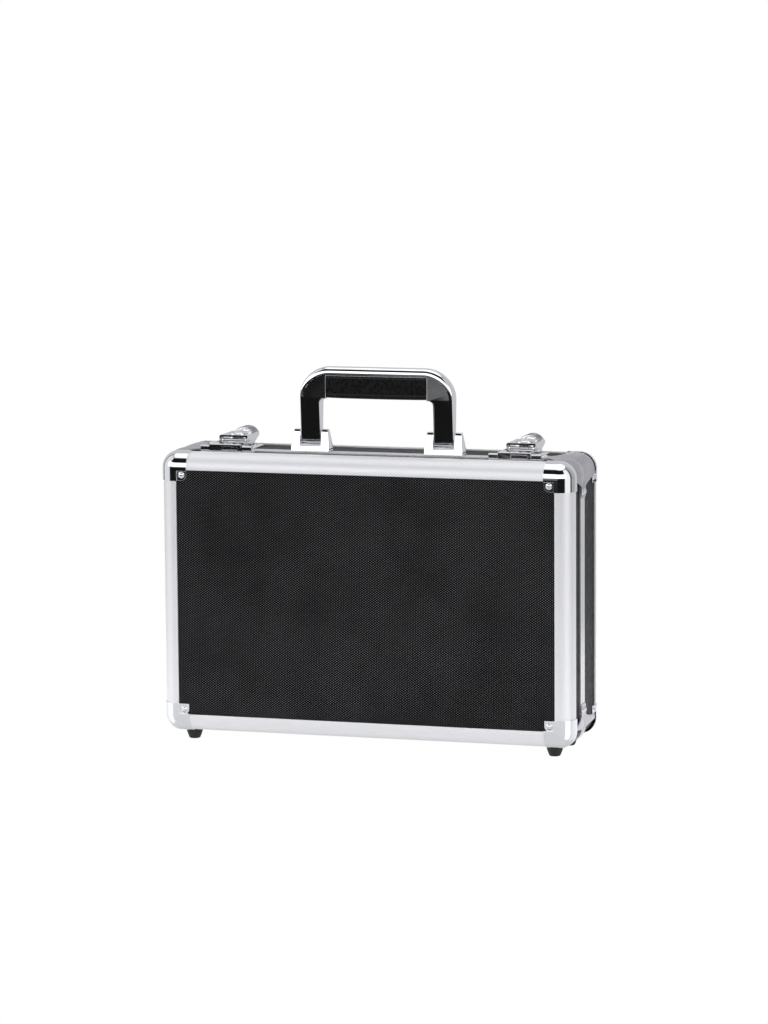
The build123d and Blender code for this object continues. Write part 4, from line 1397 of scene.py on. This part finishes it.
    def _grip(self) -> None:
        """Build the grip: a full rounded section that swells a little towards its middle."""
        low, high = self.grip_low, self.grip_high
        half_y, half_z = (high.y - low.y) / 2, (high.z - low.z) / 2
        middle = (low + high) / 2
        section = rounded([
            (-half_y, -half_z, self.grip_under), (half_y, -half_z, self.grip_under),
            (half_y, half_z, self.grip_over), (-half_y, half_z, self.grip_over)], 8)
        steps, slim, gap = 28, self.grip_slim, 0.05 * MM
        stations = []
        for i in range(steps + 1):
            swell = slim + (1 - slim) * math.cos((2 * i / steps - 1) * math.pi / 2) ** 0.5
            stations.append((low.x + (high.x - low.x) * i / steps, swell))
        stations[0] = (low.x + gap, self.grip_end)
        stations[-1] = (high.x - gap, self.grip_end)
        stations.insert(1, (low.x + self.grip_lip, slim))
        stations.insert(-1, (high.x - self.grip_lip, slim))
        shape = Shaper()
        shape.rings([
            [Vector((x, middle.y + y * swell, high.z - (half_z - z) * (0.5 + swell / 2)))
             for y, z in section] for x, swell in stations])
        self.dresser.piece(
            "handle_grip_moulded", shape.mesh(40.0), Finish.GRIP, "handle", ["handle_grip"])

    def _brackets(self) -> None:
        """Build both brackets: a foot plate, two tapered cheeks and the stop bar between them."""
        low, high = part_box("handle_brackets")
        centre = (high.x - low.x) / 2 - self.bracket.half
        shape = Shaper()
        for side in (-1, 1):
            self._bracket(shape, side * centre, low.y, high.y, high.z - self.bracket.height)
        self.dresser.piece(
            "handle_brackets_cast", shape.mesh(34.0), Finish.CHROME, "base", ["handle_brackets"])

    def _bracket(self, shape: Shaper, x: float, front: float, rear: float, ground: float) -> None:
        """Add one bracket.

        Args:
            shape: The mesh that takes it.
            x: Its middle.
            front: Its front edge.
            rear: Its rear edge.
            ground: The level that its cheeks rise from.
        """
        s = self.bracket
        plate = rounded([(x + wide, y, s.corner) for wide, y in (
            (-s.half, front), (s.half, front), (s.half, rear), (-s.half, rear))])
        shape.rings([[Vector((a, b, ground + height)) for a, b in inset_outline(plate, inset)]
                     for inset, height in s.foot])
        corners = [s.front[-1]]
        corners += [(rear - front - inset, height, radius) for inset, height, radius in s.rear]
        cheek = rounded(corners + list(s.front[:-1]), 4)
        thick = s.half - s.slot
        for way in (-1, 1):
            rings = []
            for inset, out in edge_rings(thick, s.edge):
                ring = []
                for a, b in inset_outline(cheek, inset):
                    lean = s.lean * max(0.0, b - s.toe) / (s.height - s.toe)
                    across = s.slot + out - (lean if out > thick / 2 else 0.0)
                    ring.append(Vector((x + way * across, front + a, ground + b)))
                rings.append(ring)
            shape.rings(rings)
        ahead, above = s.bar_place
        bar = turned(Vector((x - s.slot, front + ahead, ground + above)), (0, 1, 0), (1, 0, 0))
        shape.lathe([(s.bar, 0.0), (s.bar, 2 * s.slot)], bar, 20)


# ---------------------------------------------------------------- latches
@dataclass
class Latch:
    """One over-centre latch with its strike on the lid.

    Attributes:
        name: left or right.
        dresser: Turns meshes into pieces.
        ribs: The tree that makes the finger ribs.
        arch_span: Half width of the finger arch.
        arch_rise: Rise of the arch over its middle.
        arch_height: Height of that middle above the case.
        rib_inset: Distance of the last rib from the lever's end.
        rib_bead: Radius of a rib.
        rib_pitch: Spacing of the ribs.
        rib_count: How many ribs there are.
        collar_reach: Width of the collar's dome.
        collar_seat: Height of its foot above the case.
        collar_drop: How far its crown lies below the lock's face.
        collar_gap: Gap between it and the lock.
        collar_lip: Width of the flat round its bore.
    """

    name: str
    dresser: Dresser
    ribs: RepeatTree
    arch_span: float = 9.0 * MM
    arch_rise: float = 8.6 * MM
    arch_height: float = 5.6 * MM
    rib_inset: float = 1.0 * MM
    rib_bead: float = 0.5 * MM
    rib_pitch: float = 1.7 * MM
    rib_count: int = 8
    collar_reach: float = 3.4 * MM
    collar_seat: float = 10.5 * MM
    collar_drop: float = 0.15 * MM
    collar_gap: float = 0.1 * MM
    collar_lip: float = 0.6 * MM

    def __post_init__(self) -> None:
        """Read the latch's place from the frame."""
        low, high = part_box(f"latch_lever_{self.name}")
        lock_low, lock_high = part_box(f"lock_cylinder_{self.name}")
        self.x = (low.x + high.x) / 2
        self.rear = high.y
        self.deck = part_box("base_top_extrusion")[1].z
        self.lock_y = (lock_low.y + lock_high.y) / 2
        self.lock_top = lock_high.z
        self.lock_radius = (lock_high.x - lock_low.x) / 2

    def build(self) -> None:
        """Build every piece of the latch."""
        name, refine = self.name, self.dresser.refine
        refine(f"strike_{name}", "pressed", 0.3 * MM, Finish.LATCH, "lid")
        refine(f"latch_base_{name}", "pressed", 0.25 * MM, Finish.LATCH, "base")
        refine(f"latch_claw_{name}", "pressed", 0.3 * MM, Finish.LATCH, f"claw_{name}")
        refine(f"claw_pins_{name}", "turned", 0.2 * MM, Finish.PIN, f"lever_{name}")
        refine(f"latch_lever_{name}", "pressed", 0.3 * MM, Finish.LATCH, f"lever_{name}")
        self.dresser.piece(
            f"lock_collar_{name}", self._collar(), Finish.LATCH, f"lever_{name}")
        # The ribs wear the darkened latch chrome, painted shade for the dark lines between them.
        self.dresser.piece(f"finger_ribs_{name}", self._ribs(), Finish.SHADED_RIB, f"lever_{name}")
        refine(f"lock_cylinder_{name}", "turned", 0.2 * MM, Finish.LOCK, f"lock_{name}")

    def _ribs(self) -> bpy.types.Mesh:
        """Return the row of arched ribs that the finger lifts."""
        first, up = self.rear - self.rib_inset, Vector((0, 0, 1))
        rows = [(Vector((self.x, first - i * self.rib_pitch, self.deck + self.arch_height)), up)
                for i in range(self.rib_count)]
        sizes = {"Span": self.arch_span, "Rise": self.arch_rise, "Bead": self.rib_bead}
        return self.ribs.bake(rows, self.dresser.materials[Finish.SHADED_RIB], sizes)

    def _collar(self) -> bpy.types.Mesh:
        """Return the domed collar round the lock cylinder."""
        gap, bore = self.collar_gap, self.lock_radius + self.collar_gap
        seat, crown = self.deck + self.collar_seat, self.lock_top - self.collar_drop
        dome = [(bore + gap, seat), (bore, crown - 2 * gap), (bore + 2.5 * gap, crown)]
        for i in range(9):
            angle = math.pi / 2 * i / 8
            dome.append((bore + self.collar_lip + self.collar_reach * math.sin(angle),
                         seat + (crown - seat) * math.cos(angle)))
        shape = Shaper()
        shape.rings([
            [Vector((self.x + r * math.cos(a), self.lock_y + r * math.sin(a), h)) for r, h in dome]
            for a in (2 * math.pi * i / 40 for i in range(40))], closed_path=True)
        return shape.mesh(40.0)


# ---------------------------------------------------------------- studio
@dataclass(frozen=True)
class SoftBox:
    """A bright or dark area of the studio, seen from the box. Angles are in degrees.

    Attributes:
        azimuth: Its middle, 0 at the front and positive to the right.
        elevation: Its middle above the horizon.
        half_width: Half its width.
        half_height: Half its height.
        strength: What it adds to the light.
        soft: Width of its fading border.
    """

    azimuth: float
    elevation: float
    half_width: float
    half_height: float
    strength: float
    soft: float = 6.0


@dataclass
class Studio:
    """A white room: soft boxes, a pale floor and the camera. Angles are in degrees.

    Attributes:
        ambient: Strength of the light from every other way.
        tint: Colour of the light.
        boxes: The soft boxes.
        floor_radius: Radius of the floor.
        floor_drop: How far the floor lies below the feet.
        floor_glow: Strength of the floor's own light.
        floor_cover: How much of the floor mirrors and shadows meet.
        floor_seen: How much of it the camera sees.
        camera_place: Where the camera stands.
        azimuth: How far it looks to the left of the rear.
        elevation: How far it looks down.
        roll: How far it is turned about its own way.
        lens: Its focal length in millimetres.
        sensor: Its sensor's width in millimetres.
    """

    ambient: float = 0.008
    tint: Colour = (0.98, 0.985, 1.0)
    boxes: tuple[SoftBox, ...] = (
        SoftBox(0.0, 90.0, 400.0, 24.0, 1.3, 8.0),
        SoftBox(-5.0, 18.5, 62.0, 10.0, 1.85, 5.0),
        SoftBox(-8.0, 0.0, 8.6, 6.35, 0.16, 0.35),
        SoftBox(70.0, 5.0, 17.0, 50.0, 1.0),
        SoftBox(-80.0, 5.0, 24.0, 50.0, 0.8),
        SoftBox(116.0, 5.0, 12.0, 50.0, 0.4),
        SoftBox(180.0, 15.0, 42.0, 40.0, 0.6, 12.0),
        SoftBox(-180.0, 15.0, 60.0, 40.0, 0.6, 12.0),
    )
    floor_radius: float = 0.62
    floor_drop: float = 0.2 * MM
    floor_glow: float = 0.78
    floor_cover: float = 0.5
    floor_seen: float = 0.06
    camera_place: tuple[float, float, float] = (0.9519, -3.1367, 0.6328)
    azimuth: float = 16.816
    elevation: float = 7.759
    roll: float = -0.41
    lens: float = 145.49
    sensor: float = 36.0

    def build(self) -> None:
        """Build the light, the floor and the camera."""
        scene = bpy.context.scene
        scene.view_settings.view_transform = "Standard"
        self._world(scene)
        self._floor(scene)
        self._camera(scene)

    def _world(self, scene: bpy.types.Scene) -> None:
        """Light the room by its soft boxes; the camera sees plain white."""
        world = bpy.data.worlds.new("studio")
        scene.world = world
        world.use_nodes = True
        world.node_tree.nodes.clear()
        board = NodeBoard(world.node_tree)
        generated = board.add("ShaderNodeTexCoord").outputs["Generated"]
        x, y, z = board.add("ShaderNodeSeparateXYZ", {0: generated}).outputs
        degree = 180 / math.pi
        bearing = board.maths("ARCTAN2", x, board.maths("MULTIPLY", y, -1.0))
        azimuth = board.maths("MULTIPLY", bearing, degree)
        elevation = board.maths("MULTIPLY", board.maths("ARCSINE", z), degree)
        light: bpy.types.NodeSocket | float = self.ambient
        for box in self.boxes:
            shares = []
            for angle, middle, half in ((azimuth, box.azimuth, box.half_width),
                                        (elevation, box.elevation, box.half_height)):
                away = board.maths("ABSOLUTE", board.maths("SUBTRACT", angle, middle))
                shares.append(board.remap(away, half, half + box.soft, 1.0, 0.0, smooth=True))
            lit = board.maths("MULTIPLY", *shares)
            light = board.maths("MULTIPLY_ADD", lit, box.strength, light)
        room = board.add(
            "ShaderNodeBackground", {"Color": (*self.tint, 1.0), "Strength": light})
        seen = board.add("ShaderNodeBackground", {"Color": WHITE, "Strength": 1.0})
        mix = board.add("ShaderNodeMixShader", {
            0: board.add("ShaderNodeLightPath").outputs["Is Camera Ray"],
            1: room.outputs[0], 2: seen.outputs[0]})
        board.add("ShaderNodeOutputWorld", {"Surface": mix.outputs[0]})

    def _floor(self, scene: bpy.types.Scene) -> None:
        """Lay the pale floor: faintly lit and see-through, so that nothing under it is lost."""
        bm = bmesh.new()
        bmesh.ops.create_circle(bm, cap_ends=True, segments=96, radius=self.floor_radius)
        mesh = bpy.data.meshes.new("floor")
        bm.to_mesh(mesh)
        bm.free()
        floor = bpy.data.objects.new("floor", mesh)
        scene.collection.objects.link(floor)
        floor.location.z = -self.floor_drop
        material, board, shader, _ = start_material("pale_floor", 0.0)
        for name, value in (("Base Color", (0.9, 0.9, 0.9, 1.0)), ("Roughness", 0.8),
                            ("Specular IOR Level", 0.0), ("Emission Color", WHITE),
                            ("Emission Strength", self.floor_glow)):
            shader.inputs[name].default_value = value
        seen = board.add("ShaderNodeLightPath").outputs["Is Camera Ray"]
        cover = board.remap(seen, 0.0, 1.0, self.floor_cover, self.floor_seen)
        board.tree.links.new(cover, shader.inputs["Alpha"])
        mesh.materials.append(material)

    def _camera(self, scene: bpy.types.Scene) -> None:
        """Set the camera up."""
        camera = bpy.data.objects.new("camera", bpy.data.cameras.new("camera"))
        scene.collection.objects.link(camera)
        scene.camera = camera
        a, e, r = (math.radians(v) for v in (self.azimuth, self.elevation, self.roll))
        forward = Vector((-math.sin(a) * math.cos(e), math.cos(a) * math.cos(e), -math.sin(e)))
        right = Vector((math.cos(a), math.sin(a), 0.0))
        up = right.cross(forward)
        rolled_right = right * math.cos(r) + up * math.sin(r)
        rolled_up = up * math.cos(r) - right * math.sin(r)
        matrix = Matrix((rolled_right, rolled_up, -forward)).transposed().to_4x4()
        matrix.translation = self.camera_place
        camera.matrix_world = matrix
        camera.data.lens = self.lens
        camera.data.sensor_width = self.sensor
        camera.data.clip_start, camera.data.clip_end = 0.05, 50.0


def main() -> None:
    """Build every sub-assembly in order."""
    logging.basicConfig(level=logging.INFO, format="%(name)s: %(message)s")
    Studio().build()
    dresser = Dresser()
    rivets = rivet_tree()
    ribs = rib_tree()
    for body, toward, width in (("lid", 1, 21.7 * MM), ("base", -1, 36.5 * MM)):
        CaseHalf(body, toward, width, dresser).build()
    Rivets(dresser, rivets).build()
    Hinges(dresser).build()
    Handle(dresser).build()
    for name in ("left", "right"):
        Latch(name, dresser, ribs).build()
    dresser.paint_node("lever_pins", Finish.PIN)


if __name__ == "__main__":
    main()
